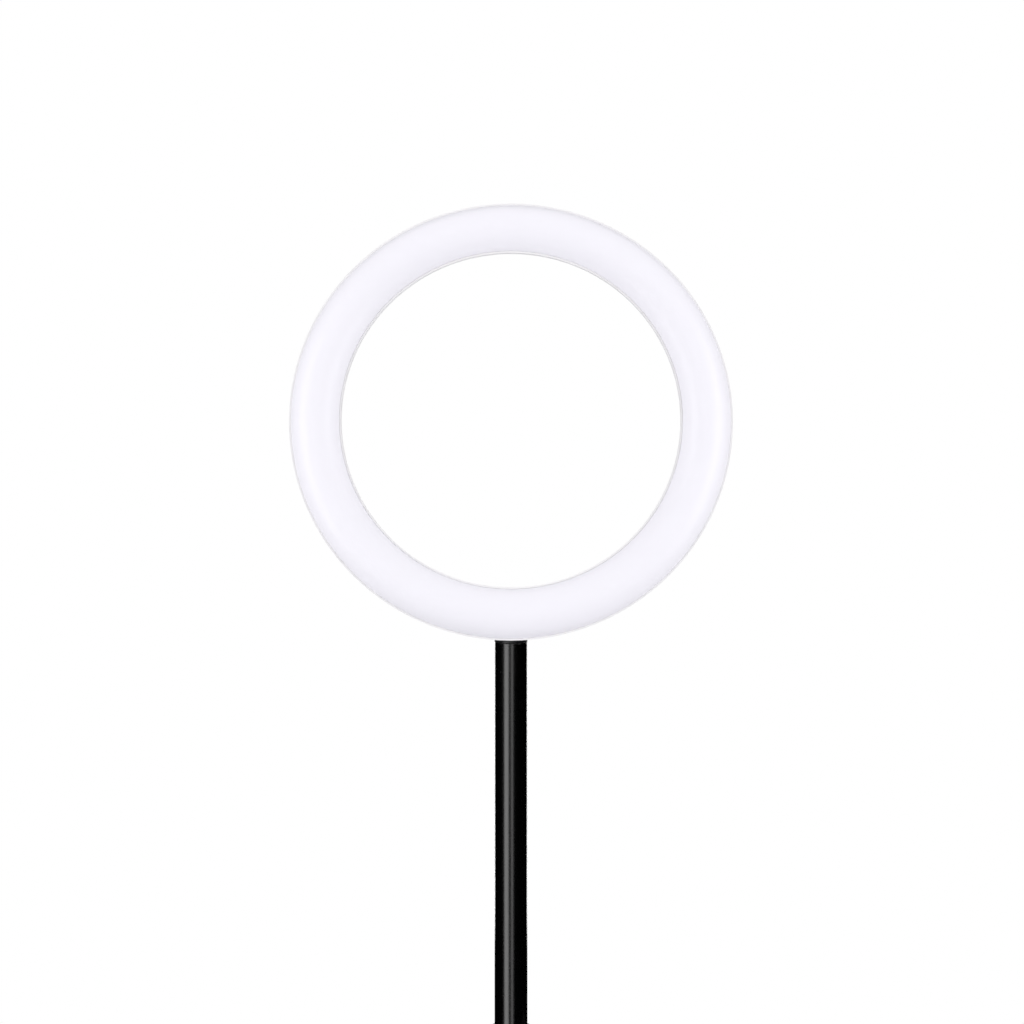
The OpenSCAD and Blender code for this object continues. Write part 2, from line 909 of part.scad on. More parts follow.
module friction_washers() {
    color([0.9, 0.88, 0.8])
        for (x = [ear_in - fit_gap / 2 - washer_t, -ear_in + fit_gap / 2])
            along_tilt_axis(x)
                washer(washer_d, tilt_bolt_d + 2 * run_gap, washer_t);
}

module knob_washer() {
    color([0.72, 0.72, 0.74])
        along_tilt_axis(ear_out + fit_gap)
            washer(knob_washer_d, tilt_bolt_d + 2 * run_gap, knob_washer_t);
}

module tilt_knob() {
    color([0.1, 0.1, 0.11])
        along_tilt_axis(knob_x)
            difference() {
                fluted_knob(tilt_knob_d, tilt_knob_h, 10);
                translate([0, 0, -cut])
                    cylinder(d = insert_d + 2 * fit_gap, h = insert_l + cut);
                translate([0, 0, insert_l - cut])
                    cylinder(d = tilt_bolt_d + 2 * free_gap, h = tilt_knob_h - insert_l - 2.2 + cut);
            }
}

module tilt_knob_insert() {
    color([0.78, 0.62, 0.3])
        along_tilt_axis(knob_x + 0.1)
            washer(insert_d, tilt_bolt_d + 2 * run_gap, insert_l - 0.2);
}

// ---- column ----

module upper_tube() {
    color([0.05, 0.05, 0.06])
        difference() {
            translate([0, 0, upper_foot_z])
                sleeve(upper_tube_d, upper_bore_d, upper_tube_l);
            translate([0, 0, clip_z])
                washer(upper_tube_d + 2, upper_tube_d - 2 * clip_depth, clip_t + fit_gap);
            yoke_screw_places()
                translate([0, 0, -cut])
                    cylinder(d = small_screw_d + 0.3, h = tube_wall + 2 * cut);
        }
}

// Snap ring in a groove of the upper tube, which keeps the guide bush on
module bush_clip() {
    color([0.7, 0.7, 0.72])
        translate([0, 0, clip_z + fit_gap / 2])
            difference() {
                washer(upper_tube_d + bush_wall, upper_tube_d - 2 * clip_depth + fit_gap, clip_t);
                translate([0, upper_tube_d / 2, clip_t / 2])
                    cube([2.5, upper_tube_d / 2, clip_t + 1], center = true);
            }
}

module guide_bush() {
    color([0.85, 0.85, 0.82])
        translate([0, 0, upper_foot_z - guide_lip - fit_gap]) {
            sleeve(lower_bore_d - 2 * run_gap, upper_tube_d + 2 * run_gap, guide_bush_l + guide_lip);
            sleeve(lower_bore_d - 2 * run_gap, upper_bore_d, guide_lip);
        }
}

// Round hole through the lower tube, the bush and the collar for the lock pad
module lock_pad_hole(x_end) {
    translate([0, 0, lock_z])
        rotate([0, 90, 0])
            cylinder(d = lock_pad_d + 2 * run_gap, h = x_end);
}

module lower_tube() {
    color([0.05, 0.05, 0.06])
        difference() {
            translate([0, 0, lower_tube_z])
                sleeve(lower_tube_d, lower_bore_d, lower_tube_l);
            lock_pad_hole(lower_tube_d);
        }
}

module collar_bush() {
    color([0.12, 0.12, 0.13])
        difference() {
            translate([0, 0, lower_top_z - collar_bush_l]) {
                sleeve(lower_bore_d - 2 * fit_gap, upper_tube_d + 2 * run_gap, collar_bush_l + collar_flange_t);
                translate([0, 0, collar_bush_l])
                    sleeve(lower_tube_d, upper_tube_d + 2 * run_gap, collar_flange_t);
            }
            lock_pad_hole(lower_tube_d);
        }
}

module lock_collar() {
    tube_hole_d = lower_tube_d + 2 * fit_gap;
    edge = 1.5;
    color([0.08, 0.08, 0.09])
        difference() {
            union() {
                translate([0, 0, collar_z])
                    rotate_extrude() {
                        translate([0, edge])
                            square([collar_d / 2, collar_h - 2 * edge]);
                        square([collar_d / 2 - edge, collar_h]);
                        for (z = [edge, collar_h - edge])
                            translate([collar_d / 2 - edge, z])
                                circle(r = edge);
                    }
                translate([0, 0, lock_z])
                    rotate([0, 90, 0])
                        cylinder(d = lock_boss_d, h = lock_boss_x);
            }
            translate([0, 0, collar_z - cut])
                cylinder(d = tube_hole_d, h = lower_top_z + collar_flange_t + fit_gap - collar_z + cut);
            translate([0, 0, collar_z])
                cylinder(d = upper_tube_d + 2 * free_gap, h = collar_h + cut);
            lock_pad_hole(lower_tube_d / 2 + lock_pocket_l - tube_wall);
            translate([0, 0, lock_z])
                rotate([0, 90, 0])
                    cylinder(d = lock_screw_d + 2 * run_gap, h = lock_boss_x + cut);
            collar_screw_place()
                cylinder(d = collar_screw_d + 2 * fit_gap, h = collar_wall + cut);
        }
}

// Place of the set screw at the collar's back, with +Z away from the tube
module collar_screw_place() {
    translate([0, lower_tube_d / 2 + fit_gap, collar_screw_z])
        rotate([-90, 0, 0])
            children();
}

module collar_screw() {
    color([0.3, 0.3, 0.32])
        collar_screw_place()
            difference() {
                cylinder(d = collar_screw_d, h = collar_screw_l);
                translate([0, 0, collar_screw_l - 2])
                    cylinder(d = collar_screw_d * 0.55, h = 2 + cut, $fn = 6);
            }
}

module lock_pad() {
    color([0.78, 0.62, 0.3])
        translate([lock_pad_x, 0, lock_z])
            rotate([0, 90, 0])
                cylinder(d = lock_pad_d, h = lock_pad_t);
}

module lock_screw() {
    color([0.72, 0.72, 0.74])
        translate([lock_screw_x, 0, lock_z])
            rotate([0, 90, 0])
                cylinder(d = lock_screw_d, h = lock_screw_end_x - lock_screw_x);
}

module lock_knob() {
    color([0.1, 0.1, 0.11])
        translate([lock_knob_x, 0, lock_z])
            rotate([0, 90, 0])
                difference() {
                    fluted_knob(lock_knob_d, lock_knob_h, 8);
                    translate([0, 0, -cut])
                        cylinder(d = lock_screw_d + 2 * fit_gap, h = lock_screw_end_x - lock_knob_x + fit_gap + cut);
                }
}

// ---- base ----

module base_trim() {
    color([0.08, 0.08, 0.09])
        translate([0, 0, cover_top_z])
            rotate_extrude()
                difference() {
                    translate([lower_tube_d / 2 + fit_gap, 0])
                        square([trim_r - lower_tube_d / 2 - fit_gap, trim_h]);
                    translate([trim_r + 3, trim_h])
                        circle(r = trim_cove_r);
                }
}

module tube_socket() {
    color([0.6, 0.6, 0.62])
        translate([0, 0, lower_tube_z])
            difference() {
                cylinder(d = lower_bore_d - 2 * fit_gap, h = socket_l);
                translate([0, 0, -cut])
                    cylinder(d = base_bolt_d + 2 * fit_gap, h = socket_l - 3 + cut);
            }
}

// Section of the base's cover: wall is how far inside its outer face the outline lies
module cover_outline(wall) {
    edge_r = base_r - base_round;
    polygon([
        [0, cover_skirt_z - wall],
        [base_r - wall, cover_skirt_z - wall],
        [base_r - wall, base_edge_h - base_round],
        [edge_r, base_edge_h - wall],
        [base_flat_r, cover_top_z - wall],
        [0, cover_top_z - wall]
    ]);
    translate([edge_r, base_edge_h - base_round])
        circle(r = base_round - wall);
}

module base_cover() {
    color([0.07, 0.07, 0.08])
        difference() {
            rotate_extrude()
                difference() {
                    cover_outline(0);
                    cover_outline(cover_wall);
                }
            translate([0, 0, base_edge_h - base_round])
                cylinder(d = base_bolt_d + 0.5, h = base_rise + base_round + cut);
        }
}

module base_weight() {
    color([0.25, 0.25, 0.26])
        difference() {
            union() {
                translate([0, 0, pad_t])
                    cylinder(r = weight_r, h = weight_top_z - pad_t);
                translate([0, 0, pad_t])
                    cylinder(r = weight_boss_r, h = cover_top_z - cover_wall - pad_t);
            }
            cylinder(d = base_washer_d + 4, h = washer_seat_z);
            cylinder(d = base_bolt_d + 0.5, h = cover_top_z);
        }
}

module base_washer() {
    color([0.72, 0.72, 0.74])
        translate([0, 0, washer_seat_z - base_washer_t])
            washer(base_washer_d, base_bolt_d + 0.4, base_washer_t);
}

module base_bolt() {
    color([0.72, 0.72, 0.74]) {
        translate([0, 0, head_clear_z])
            cylinder(d = bolt_head_d, h = bolt_head_h, $fn = 6);
        translate([0, 0, head_clear_z + bolt_head_h - cut])
            cylinder(d = base_bolt_d, h = base_bolt_l + cut);
    }
}

module base_pad() {
    color([0.15, 0.15, 0.15])
        difference() {
            washer(2 * pad_out_r, 2 * pad_in_r, pad_t);
            for (r = [pad_in_r + 12, pad_out_r - 10])
                translate([0, 0, -cut])
                    washer(2 * r + pad_groove_w, 2 * r - pad_groove_w, pad_groove_h + cut);
        }
}

// ---- nodes ----

diffuser();
rear_housing();
led_board();
cool_leds();
warm_leds();
board_screws();
control_pod_cover();
power_pod_cover();
pod_screws();
control_board();
button_switches();
power_board();
usb_socket();
status_lens();
link_wires();
feed_wires();
power_button();
brighter_button();
dimmer_button();
colour_button();
tilt_bracket();
bracket_screws();
yoke();
yoke_screws();
tilt_bolt();
friction_washers();
upper_tube();
bush_clip();
guide_bush();
knob_washer();
tilt_knob();
tilt_knob_insert();
lower_tube();
collar_bush();
lock_collar();
collar_screw();
lock_pad();
lock_knob();
lock_screw();
base_trim();
tube_socket();
base_cover();
base_weight();
base_washer();
base_bolt();
base_pad();
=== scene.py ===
# %% [markdown]
# A desktop ring light, finished in Blender.
# The sizes, the joints and the places of all the pieces come from the engineering model, which is
# loaded first and never moved. Everything after it adds what such a model leaves out: soft edges,
# moulded grain, gloss paint, fluted knobs, and the light of a studio.

# %% Load the engineering model
import bpy
import bmesh
import json
import math
from mathutils import Matrix, Vector


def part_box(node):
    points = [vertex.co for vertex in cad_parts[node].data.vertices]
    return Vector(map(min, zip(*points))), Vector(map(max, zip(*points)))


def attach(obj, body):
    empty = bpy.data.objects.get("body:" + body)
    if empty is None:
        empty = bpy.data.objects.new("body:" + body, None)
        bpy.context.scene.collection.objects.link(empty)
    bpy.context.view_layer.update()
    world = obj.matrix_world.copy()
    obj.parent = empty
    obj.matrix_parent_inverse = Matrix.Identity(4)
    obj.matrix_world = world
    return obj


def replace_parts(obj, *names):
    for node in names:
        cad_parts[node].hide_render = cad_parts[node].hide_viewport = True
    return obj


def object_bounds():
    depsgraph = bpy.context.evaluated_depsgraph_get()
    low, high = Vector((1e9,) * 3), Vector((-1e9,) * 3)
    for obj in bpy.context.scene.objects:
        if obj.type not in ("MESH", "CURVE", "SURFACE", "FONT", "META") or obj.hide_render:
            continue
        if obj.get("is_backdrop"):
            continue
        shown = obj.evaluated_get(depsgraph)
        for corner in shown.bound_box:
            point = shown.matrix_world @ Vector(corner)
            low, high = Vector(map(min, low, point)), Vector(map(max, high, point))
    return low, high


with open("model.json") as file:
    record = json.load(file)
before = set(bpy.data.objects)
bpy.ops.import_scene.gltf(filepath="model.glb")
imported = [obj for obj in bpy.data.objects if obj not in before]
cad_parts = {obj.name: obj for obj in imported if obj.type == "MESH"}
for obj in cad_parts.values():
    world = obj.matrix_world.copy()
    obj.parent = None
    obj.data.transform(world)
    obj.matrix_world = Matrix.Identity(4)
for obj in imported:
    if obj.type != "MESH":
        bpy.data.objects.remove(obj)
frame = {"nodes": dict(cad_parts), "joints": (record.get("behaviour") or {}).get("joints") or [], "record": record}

CAD_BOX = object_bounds()
NODES = frame["nodes"]
JOINTS = {joint["name"]: joint for joint in frame["joints"]}
SLOTS = {part["node"]: part["material_slot"] for part in frame["record"]["subparts"]}
MM = 0.001
print("model box", [tuple(round(c, 4) for c in corner) for corner in CAD_BOX], len(NODES), "nodes")

# %% [markdown]
# Two places are needed again and again: the tilt axis, and the middle of the ring's front rim.
# Both follow from the model. The tilt joint says where its axis is. A push button's joint says which
# way the ring faces, because the button is pressed straight into the back of it. What the model's
# frame doesn't say is how wide the band is, how thin the white rim beside the diffuser is, and how far
# the rim stands in front of the tilt axis, so these three are given here.
# In the ring's own frame Z runs to the back, and the bottom of the ring is where its Y is largest.

# %% Find the ring's own frame
HINGE = Vector(JOINTS["head_tilt"]["pos_m"])
PRESS = Vector(JOINTS["power_button_press"]["axis"])
TILT = math.atan2(PRESS.z, -PRESS.y)
HEAD = Matrix.Translation(HINGE) @ Matrix.Rotation(-TILT, 4, "X")
OUT_R = (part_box("rear_housing")[1].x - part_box("rear_housing")[0].x) / 2
BAND_W = 30.5 * MM
RIM_W = 1.1 * MM
RIM_AHEAD = 40 * MM
MID_R = round(OUT_R, 4) - BAND_W / 2
RING = (HEAD @ Matrix.Translation((0, -RIM_AHEAD, MID_R)) @
        Matrix.Rotation(math.radians(-90), 4, "X"))
RING_MIDDLE = RING.translation.copy()
print("tilt", round(math.degrees(TILT), 2), "ring middle", tuple(round(c, 4) for c in RING_MIDDLE))

# %% [markdown]
# The camera comes first, so that every try can be looked at. It stands level, a little lower than the
# middle of the ring, as someone would who sits at the desk in front of the light.

# %% Camera
CAMERA_AWAY, CAMERA_H, CAMERA_X, LENS_MM = 0.650, 0.5440, 0.0006, 39.02
camera = bpy.data.objects.new("camera", bpy.data.cameras.new("camera"))
bpy.context.scene.collection.objects.link(camera)
bpy.context.scene.camera = camera
camera.data.sensor_width = 36
camera.data.lens = LENS_MM
camera.data.clip_start = 0.01
camera.location = (CAMERA_X, RING_MIDDLE.y - CAMERA_AWAY, CAMERA_H)
camera.rotation_euler = (math.radians(90), 0, 0)
print("camera at", tuple(round(c, 3) for c in camera.location))

# %% [markdown]
# Most pieces of this light are turned or moulded round shapes. So the first helper is a lathe, which
# spins a closed profile of (radius, height) points round an axis. No real corner is perfectly sharp,
# so a second helper rounds the corners of a profile before it is spun.

# %% Helpers for turned shapes
TINY = 1e-7


def rounded(profile, radius, steps=4):
    """The closed profile with its corners rounded: radius is one number, or one for each corner.

    A corner takes less than half of each side beside it, so that two of them never meet."""
    radii = radius if isinstance(radius, (list, tuple)) else [radius] * len(profile)
    points = []
    for i, corner in enumerate(profile):
        here = Vector(corner)
        a, b = Vector(profile[i - 1]) - here, Vector(profile[(i + 1) % len(profile)]) - here
        r = min(radii[i], 0.49 * a.length, 0.49 * b.length)
        if r < TINY:
            points.append(tuple(here))
            continue
        start, end = here + a.normalized() * r, here + b.normalized() * r
        for s in range(steps + 1):
            t = s / steps
            points.append(tuple(start.lerp(here, t).lerp(here.lerp(end, t), t)))
    return points


def turn(bm, profile, segments=96, reach=None):
    """Spins a closed profile round Z. reach(angle, r, z) may give another radius there."""
    rings = []
    for i in range(segments):
        angle = 2 * math.pi * i / segments
        across = [reach(angle, r, z) if reach else r for r, z in profile]
        rings.append([bm.verts.new((q * math.cos(angle), q * math.sin(angle), z))
                      for q, (r, z) in zip(across, profile)])
    for i in range(segments):
        here, beside = rings[i], rings[(i + 1) % segments]
        for k in range(len(profile)):
            n = (k + 1) % len(profile)
            bm.faces.new([here[k], beside[k], beside[n], here[n]])
    bmesh.ops.remove_doubles(bm, verts=bm.verts, dist=TINY)


def as_piece(name, bm, place, body, slot, crease=35, looks=None):
    """Turns bm into an object at its place, which rides on a body and takes its finish from a slot."""
    bmesh.ops.recalc_face_normals(bm, faces=bm.faces)
    for face in bm.faces:
        face.smooth = True
    mesh = bpy.data.meshes.new(name)
    bm.to_mesh(mesh)
    bm.free()
    mesh.transform(place)
    mesh.set_sharp_from_angle(angle=math.radians(crease))
    mesh.materials.append(FINISHES[looks or slot])
    piece = bpy.data.objects.new(name, mesh)
    bpy.context.scene.collection.objects.link(piece)
    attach(piece, body)
    return piece


def turned(name, profile, place, body, slot, segments=96, reach=None, crease=35):
    bm = bmesh.new()
    turn(bm, profile, segments, reach)
    return as_piece(name, bm, place, body, slot, crease)


def along_x(x, z):
    """A place whose own Z runs along +X, for what sits on the tilt bolt or on the lock screw."""
    return Matrix.Translation((x, 0, z)) @ Matrix.Rotation(math.radians(90), 4, "Y")


def on_band(angle, radius, depth):
    """A place on the ring, at degrees from its bottom towards the right, with Z to the back."""
    around = Matrix.Rotation(math.radians(90 - angle), 4, "Z")
    return RING @ around @ Matrix.Translation((radius, 0, depth))


def put_prism(bm, points, z0, z1, soft=0.0):
    """A flat outline of (x, y) points as a prism from z0 to z1, with its top edge softened."""
    low = [bm.verts.new((x, y, z0)) for x, y in points]
    high = [bm.verts.new((x, y, z1)) for x, y in points]
    for i in range(len(points)):
        n = (i + 1) % len(points)
        bm.faces.new([low[i], low[n], high[n], high[i]])
    bm.faces.new(list(reversed(low)))
    top = bm.faces.new(high)
    if soft:
        bmesh.ops.bevel(bm, geom=list(top.edges), offset=soft, segments=3, profile=0.5, affect="EDGES")


# %% [markdown]
# A finish is more than a colour. Moulded plastic has grain, a handled edge is worn, dust lies on
# whatever faces up, and a turned screw shows the lines of its tool. Each of those effects is used by
# several finishes here, so each becomes a node group that is built once. A group only makes masks
# and heights. The shader itself stays in the material, where it can be read easily.

# %% Helpers for node trees
def add(tree, kind, settings=None, **values):
    """A new node. settings are the node's own options, and values fill its inputs by name."""
    node = tree.nodes.new(kind)
    for key, value in (settings or {}).items():
        setattr(node, key, value)
    for key, value in values.items():
        put(tree, value, node.inputs[int(key[1:]) if key[0] == "i" and key[1:].isdigit()
                                     else key.replace("_", " ")])
    return node


def put(tree, value, socket):
    """Links an output to the socket, or sets the socket to a plain value."""
    if isinstance(value, bpy.types.NodeSocket):
        tree.links.new(value, socket)
    else:
        socket.default_value = value


def math_node(tree, operation, a, b, clamp=False):
    settings = {"operation": operation, "use_clamp": clamp}
    return add(tree, "ShaderNodeMath", settings, i0=a, i1=b).outputs[0]


def blend(tree, share, a, b):
    """A colour between a and b. A Mix node has its two colours in its inputs 6 and 7."""
    return add(tree, "ShaderNodeMix", {"data_type": "RGBA"}, i0=share, i6=a, i7=b).outputs[2]


def spread(tree, value, low, high, new_low=0.0, new_high=1.0):
    """Maps low..high to new_low..new_high with soft ends."""
    return add(tree, "ShaderNodeMapRange", {"interpolation_type": "SMOOTHSTEP"},
               i0=value, i1=low, i2=high, i3=new_low, i4=new_high).outputs[0]


def group(name, inputs, outputs):
    """An empty node group with named number inputs and outputs, and its two end nodes."""
    tree = bpy.data.node_groups.new(name, "ShaderNodeTree")
    for label, value in inputs.items():
        socket = tree.interface.new_socket(name=label, in_out="INPUT", socket_type="NodeSocketFloat")
        socket.default_value = value
    for label in outputs:
        tree.interface.new_socket(name=label, in_out="OUTPUT", socket_type="NodeSocketFloat")
    return tree, tree.nodes.new("NodeGroupInput").outputs, tree.nodes.new("NodeGroupOutput").inputs


def object_place(tree, per_metre):
    """The surface's own coordinates, scaled. They stay with the piece when it moves."""
    place = add(tree, "ShaderNodeTexCoord").outputs["Object"]
    return add(tree, "ShaderNodeVectorMath", {"operation": "SCALE"}, i0=place, Scale=per_metre).outputs[0]


def noise(tree, per_metre, **values):
    """A noise that stays with the piece, with so many bumps to the metre."""
    return add(tree, "ShaderNodeTexNoise", Vector=object_place(tree, per_metre), Scale=1.0,
               **values).outputs[0]


# %% [markdown]
# Grain is what a mould leaves on plastic, and what a coat of paint leaves on metal: small soft bumps.
# Two noises of different sizes make it. The Mottle output is a slower change for the roughness,
# because a real surface never shines quite evenly.

# %% Node group: grain
GRAIN, ins, outs = group("surface grain", {"Size mm": 0.3, "Mottle mm": 12.0}, ["Height", "Mottle"])
per_metre = math_node(GRAIN, "DIVIDE", 1000.0, ins["Size mm"])
cells = add(GRAIN, "ShaderNodeTexVoronoi", {"feature": "SMOOTH_F1"},
            Vector=object_place(GRAIN, per_metre), Scale=0.8, Smoothness=0.6).outputs["Distance"]
fine = noise(GRAIN, per_metre, Detail=2.0)
half_cells, half_fine = math_node(GRAIN, "MULTIPLY", cells, 0.5), math_node(GRAIN, "MULTIPLY", fine, 0.5)
put(GRAIN, math_node(GRAIN, "ADD", half_cells, half_fine), outs["Height"])
per_metre = math_node(GRAIN, "DIVIDE", 1000.0, ins["Mottle mm"])
put(GRAIN, noise(GRAIN, per_metre, Detail=4.0, Roughness=0.6), outs["Mottle"])
print("made group", GRAIN.name)

# %% [markdown]
# Paint goes first where hands and tables touch it, which is on outer edges. The Bevel node gives the
# normal of a slightly rounded shape. Where that differs from the real normal there is an edge near,
# and a noise breaks the edge up so that it isn't worn like a drawn line.

# %% Node group: edge wear
WEAR, ins, outs = group("edge wear", {"Reach mm": 0.6, "Patch mm": 4.0}, ["Mask"])
radius = math_node(WEAR, "MULTIPLY", ins["Reach mm"], MM)
soft = add(WEAR, "ShaderNodeBevel", {"samples": 4}, Radius=radius).outputs[0]
plain = add(WEAR, "ShaderNodeNewGeometry").outputs["Normal"]
same = add(WEAR, "ShaderNodeVectorMath", {"operation": "DOT_PRODUCT"}, i0=soft, i1=plain).outputs["Value"]
edge = spread(WEAR, same, 0.995, 0.90)
patches = noise(WEAR, math_node(WEAR, "DIVIDE", 1000.0, ins["Patch mm"]), Detail=5.0, Roughness=0.7)
put(WEAR, math_node(WEAR, "MULTIPLY", edge, spread(WEAR, patches, 0.50, 0.66)), outs["Mask"])
print("made group", WEAR.name)

# %% [markdown]
# Dust settles on what faces up, and fingers leave faint smears anywhere. Dust is a pale, rough film,
# so it changes colour and roughness. A smear changes only the roughness.

# %% Node group: dust and smears
SPECKS_PER_METRE, DRIFTS_PER_METRE = 2500.0, 18.0
FILM, ins, outs = group("dust and smears", {"Smear mm": 30.0}, ["Dust", "Smear"])
up = add(FILM, "ShaderNodeSeparateXYZ", Vector=add(FILM, "ShaderNodeNewGeometry").outputs["Normal"])
specks = spread(FILM, noise(FILM, SPECKS_PER_METRE, Detail=2.0), 0.45, 0.8, 0.15)
drift = spread(FILM, noise(FILM, DRIFTS_PER_METRE, Detail=3.0), 0.3, 0.7, 0.4)
settled = math_node(FILM, "MULTIPLY", specks, drift)
put(FILM, math_node(FILM, "MULTIPLY", settled, spread(FILM, up.outputs["Z"], 0.25, 0.95)), outs["Dust"])
per_metre = math_node(FILM, "DIVIDE", 1000.0, ins["Smear mm"])
smears = noise(FILM, per_metre, Detail=6.0, Roughness=0.65, Distortion=1.2)
put(FILM, spread(FILM, smears, 0.45, 0.75), outs["Smear"])
print("made group", FILM.name)

# %% [markdown]
# Screws, washers and tubes are turned or drawn, so their lines run one way. Noise that is squeezed
# across one axis and stretched along the others gives such lines.

# %% Node group: tool lines
SQUEEZE = (1.0, 0.04, 0.04)
LINES, ins, outs = group("tool lines", {"Pitch mm": 0.12}, ["Height"])
per_metre = math_node(LINES, "DIVIDE", 1000.0, ins["Pitch mm"])
squeezed = add(LINES, "ShaderNodeVectorMath", {"operation": "MULTIPLY"},
               i0=object_place(LINES, per_metre), i1=SQUEEZE).outputs[0]
put(LINES, add(LINES, "ShaderNodeTexNoise", Vector=squeezed, Scale=1.0, Detail=2.0).outputs[0],
    outs["Height"])
print("made group", LINES.name)


# %% [markdown]
# Every finish here is the same recipe with its own values: a colour, a roughness that wanders a little,
# grain or tool lines as a bump, worn edges, and a film of dust. What is the same all over a surface,
# such as metallic or coat, is set straight on the shader.

# %% The recipe for a finish
DUST, DUST_ROUGH = (0.55, 0.54, 0.52, 1), 0.4
FINISHES = {}


def finish(slot, color, rough, grain=0.3, depth=0.01, mottle=0.1, wear=0.0, worn=(0.5, 0.5, 0.5),
           dust=0.3, smear=0.0, lines=0.0, edge=0.25, tint=0.0, **shader_values):
    """A material for one slot. grain and lines are sizes in mm, depth is the bump's height in mm, and
    edge is how far its sharp corners look rounded, in mm. The rest are shares from 0 to 1."""
    material = bpy.data.materials.new(slot + "_finish")
    material.use_nodes = True
    tree = material.node_tree
    shader = tree.nodes["Principled BSDF"]
    for key, value in shader_values.items():
        shader.inputs[key.replace("_", " ")].default_value = value
    surface = add(tree, "ShaderNodeGroup", {"node_tree": GRAIN}, Size_mm=grain)
    film = add(tree, "ShaderNodeGroup", {"node_tree": FILM})
    darker = (*[c * (1 - tint) for c in color], 1)
    lighter = (*[min(c * (1 + tint), 1) for c in color], 1)
    base = blend(tree, surface.outputs["Mottle"], darker, lighter)
    roughness = spread(tree, surface.outputs["Mottle"], 0.3, 0.7, rough - mottle / 2, rough + mottle / 2)
    if wear:
        worn_edge = add(tree, "ShaderNodeGroup", {"node_tree": WEAR})
        mask = math_node(tree, "MULTIPLY", worn_edge.outputs["Mask"], wear)
        base = blend(tree, mask, base, (*worn, 1))
    dusted = math_node(tree, "MULTIPLY", film.outputs["Dust"], dust)
    base = blend(tree, dusted, base, DUST)
    roughness = math_node(tree, "ADD", roughness, math_node(tree, "MULTIPLY", dusted, DUST_ROUGH))
    smeared = math_node(tree, "MULTIPLY", film.outputs["Smear"], smear)
    roughness = math_node(tree, "ADD", roughness, smeared, clamp=True)
    put(tree, base, shader.inputs["Base Color"])
    put(tree, roughness, shader.inputs["Roughness"])
    height = surface.outputs["Height"]
    if lines:
        height = add(tree, "ShaderNodeGroup", {"node_tree": LINES}, Pitch_mm=lines).outputs["Height"]
    bump = add(tree, "ShaderNodeBump", Height=height, Strength=1.0, Distance=depth * MM)
    if edge:
        softened = add(tree, "ShaderNodeBevel", {"samples": 4}, Radius=edge * MM).outputs[0]
        put(tree, softened, bump.inputs["Normal"])
    put(tree, bump.outputs[0], shader.inputs["Normal"])
    FINISHES[slot] = material


# %% [markdown]
# The diffuser is opal acrylic: milky, very slightly lavender, and moulded matt so that the chips behind
# it don't show. The housing is white ABS with the fine grain of a spark-eroded mould.

# %% Plastics of the ring
finish("opal_plastic", (0.88, 0.87, 0.92), 0.35, grain=0.25, depth=0.002, mottle=0.05, dust=0.02, edge=0.0,
       tint=0.004)
finish("white_plastic", (0.88, 0.875, 0.88), 0.42, grain=0.35, depth=0.012, mottle=0.08, dust=0.04,
       edge=0.08, tint=0.01)
finish("grey_button", (0.33, 0.33, 0.36), 0.5, grain=0.25, depth=0.01, dust=0.15, edge=0.0)
finish("lens", (0.75, 0.83, 0.78), 0.15, grain=0.5, depth=0.002, mottle=0.05, dust=0.1, Coat_Weight=0.5,
       Transmission_Weight=0.35)

# %% [markdown]
# The pole is gloss enamel on steel: nearly black, with a hard clear shine, and a surface that waves so
# slightly that only the edge of a reflection shows it. The cast parts have a satin powder coat, which
# is pebbly, and the knobs are grained black nylon.

# %% Black paint and black plastic
finish("black_enamel", (0.0006, 0.0006, 0.0007), 0.25, grain=2.5, depth=0.002, mottle=0.03, wear=0.25,
       worn=(0.10, 0.10, 0.11), dust=0.10, smear=0.03, Coat_Weight=0.8, Coat_Roughness=0.22)
finish("black_cast", (0.009, 0.009, 0.010), 0.36, grain=0.55, depth=0.03, mottle=0.1, wear=0.5,
       worn=(0.20, 0.20, 0.21), dust=0.25, edge=0.5)
finish("black_plastic", (0.014, 0.014, 0.015), 0.48, grain=0.4, depth=0.02, mottle=0.12, wear=0.25,
       worn=(0.05, 0.05, 0.05), dust=0.3, smear=0.05, edge=0.3)
finish("pad_rubber", (0.018, 0.018, 0.018), 0.8, grain=0.8, depth=0.05, dust=0.4)

# %% [markdown]
# Bought-in hardware comes in a few platings. Zinc is bright and faintly blue, black oxide is dark and
# oily, brass is warm and tarnishes a little, and the weight in the base is plain cast iron.

# %% Metals
finish("zinc_steel", (0.62, 0.63, 0.66), 0.28, depth=0.004, lines=0.15, dust=0.1, tint=0.06, Metallic=1.0)
finish("black_oxide", (0.045, 0.045, 0.05), 0.34, depth=0.004, lines=0.2, wear=0.5, worn=(0.4, 0.4, 0.42),
       dust=0.2, Metallic=1.0)
finish("brass", (0.80, 0.56, 0.26), 0.28, depth=0.004, lines=0.15, dust=0.1, tint=0.1, Metallic=1.0)
finish("socket_shell", (0.60, 0.60, 0.62), 0.26, depth=0.003, lines=0.2, dust=0.05, Metallic=1.0, edge=0.05)
finish("iron", (0.10, 0.10, 0.105), 0.6, grain=0.9, depth=0.08, dust=0.3, tint=0.15, Metallic=1.0)

# %% [markdown]
# Inside the head are the lamps and their boards. None of it shows while the diffuser is on, but each
# part has its own finish, so that the head can be opened. The chips are yellow and orange, because
# that is the colour of the phosphor over them while they are off.

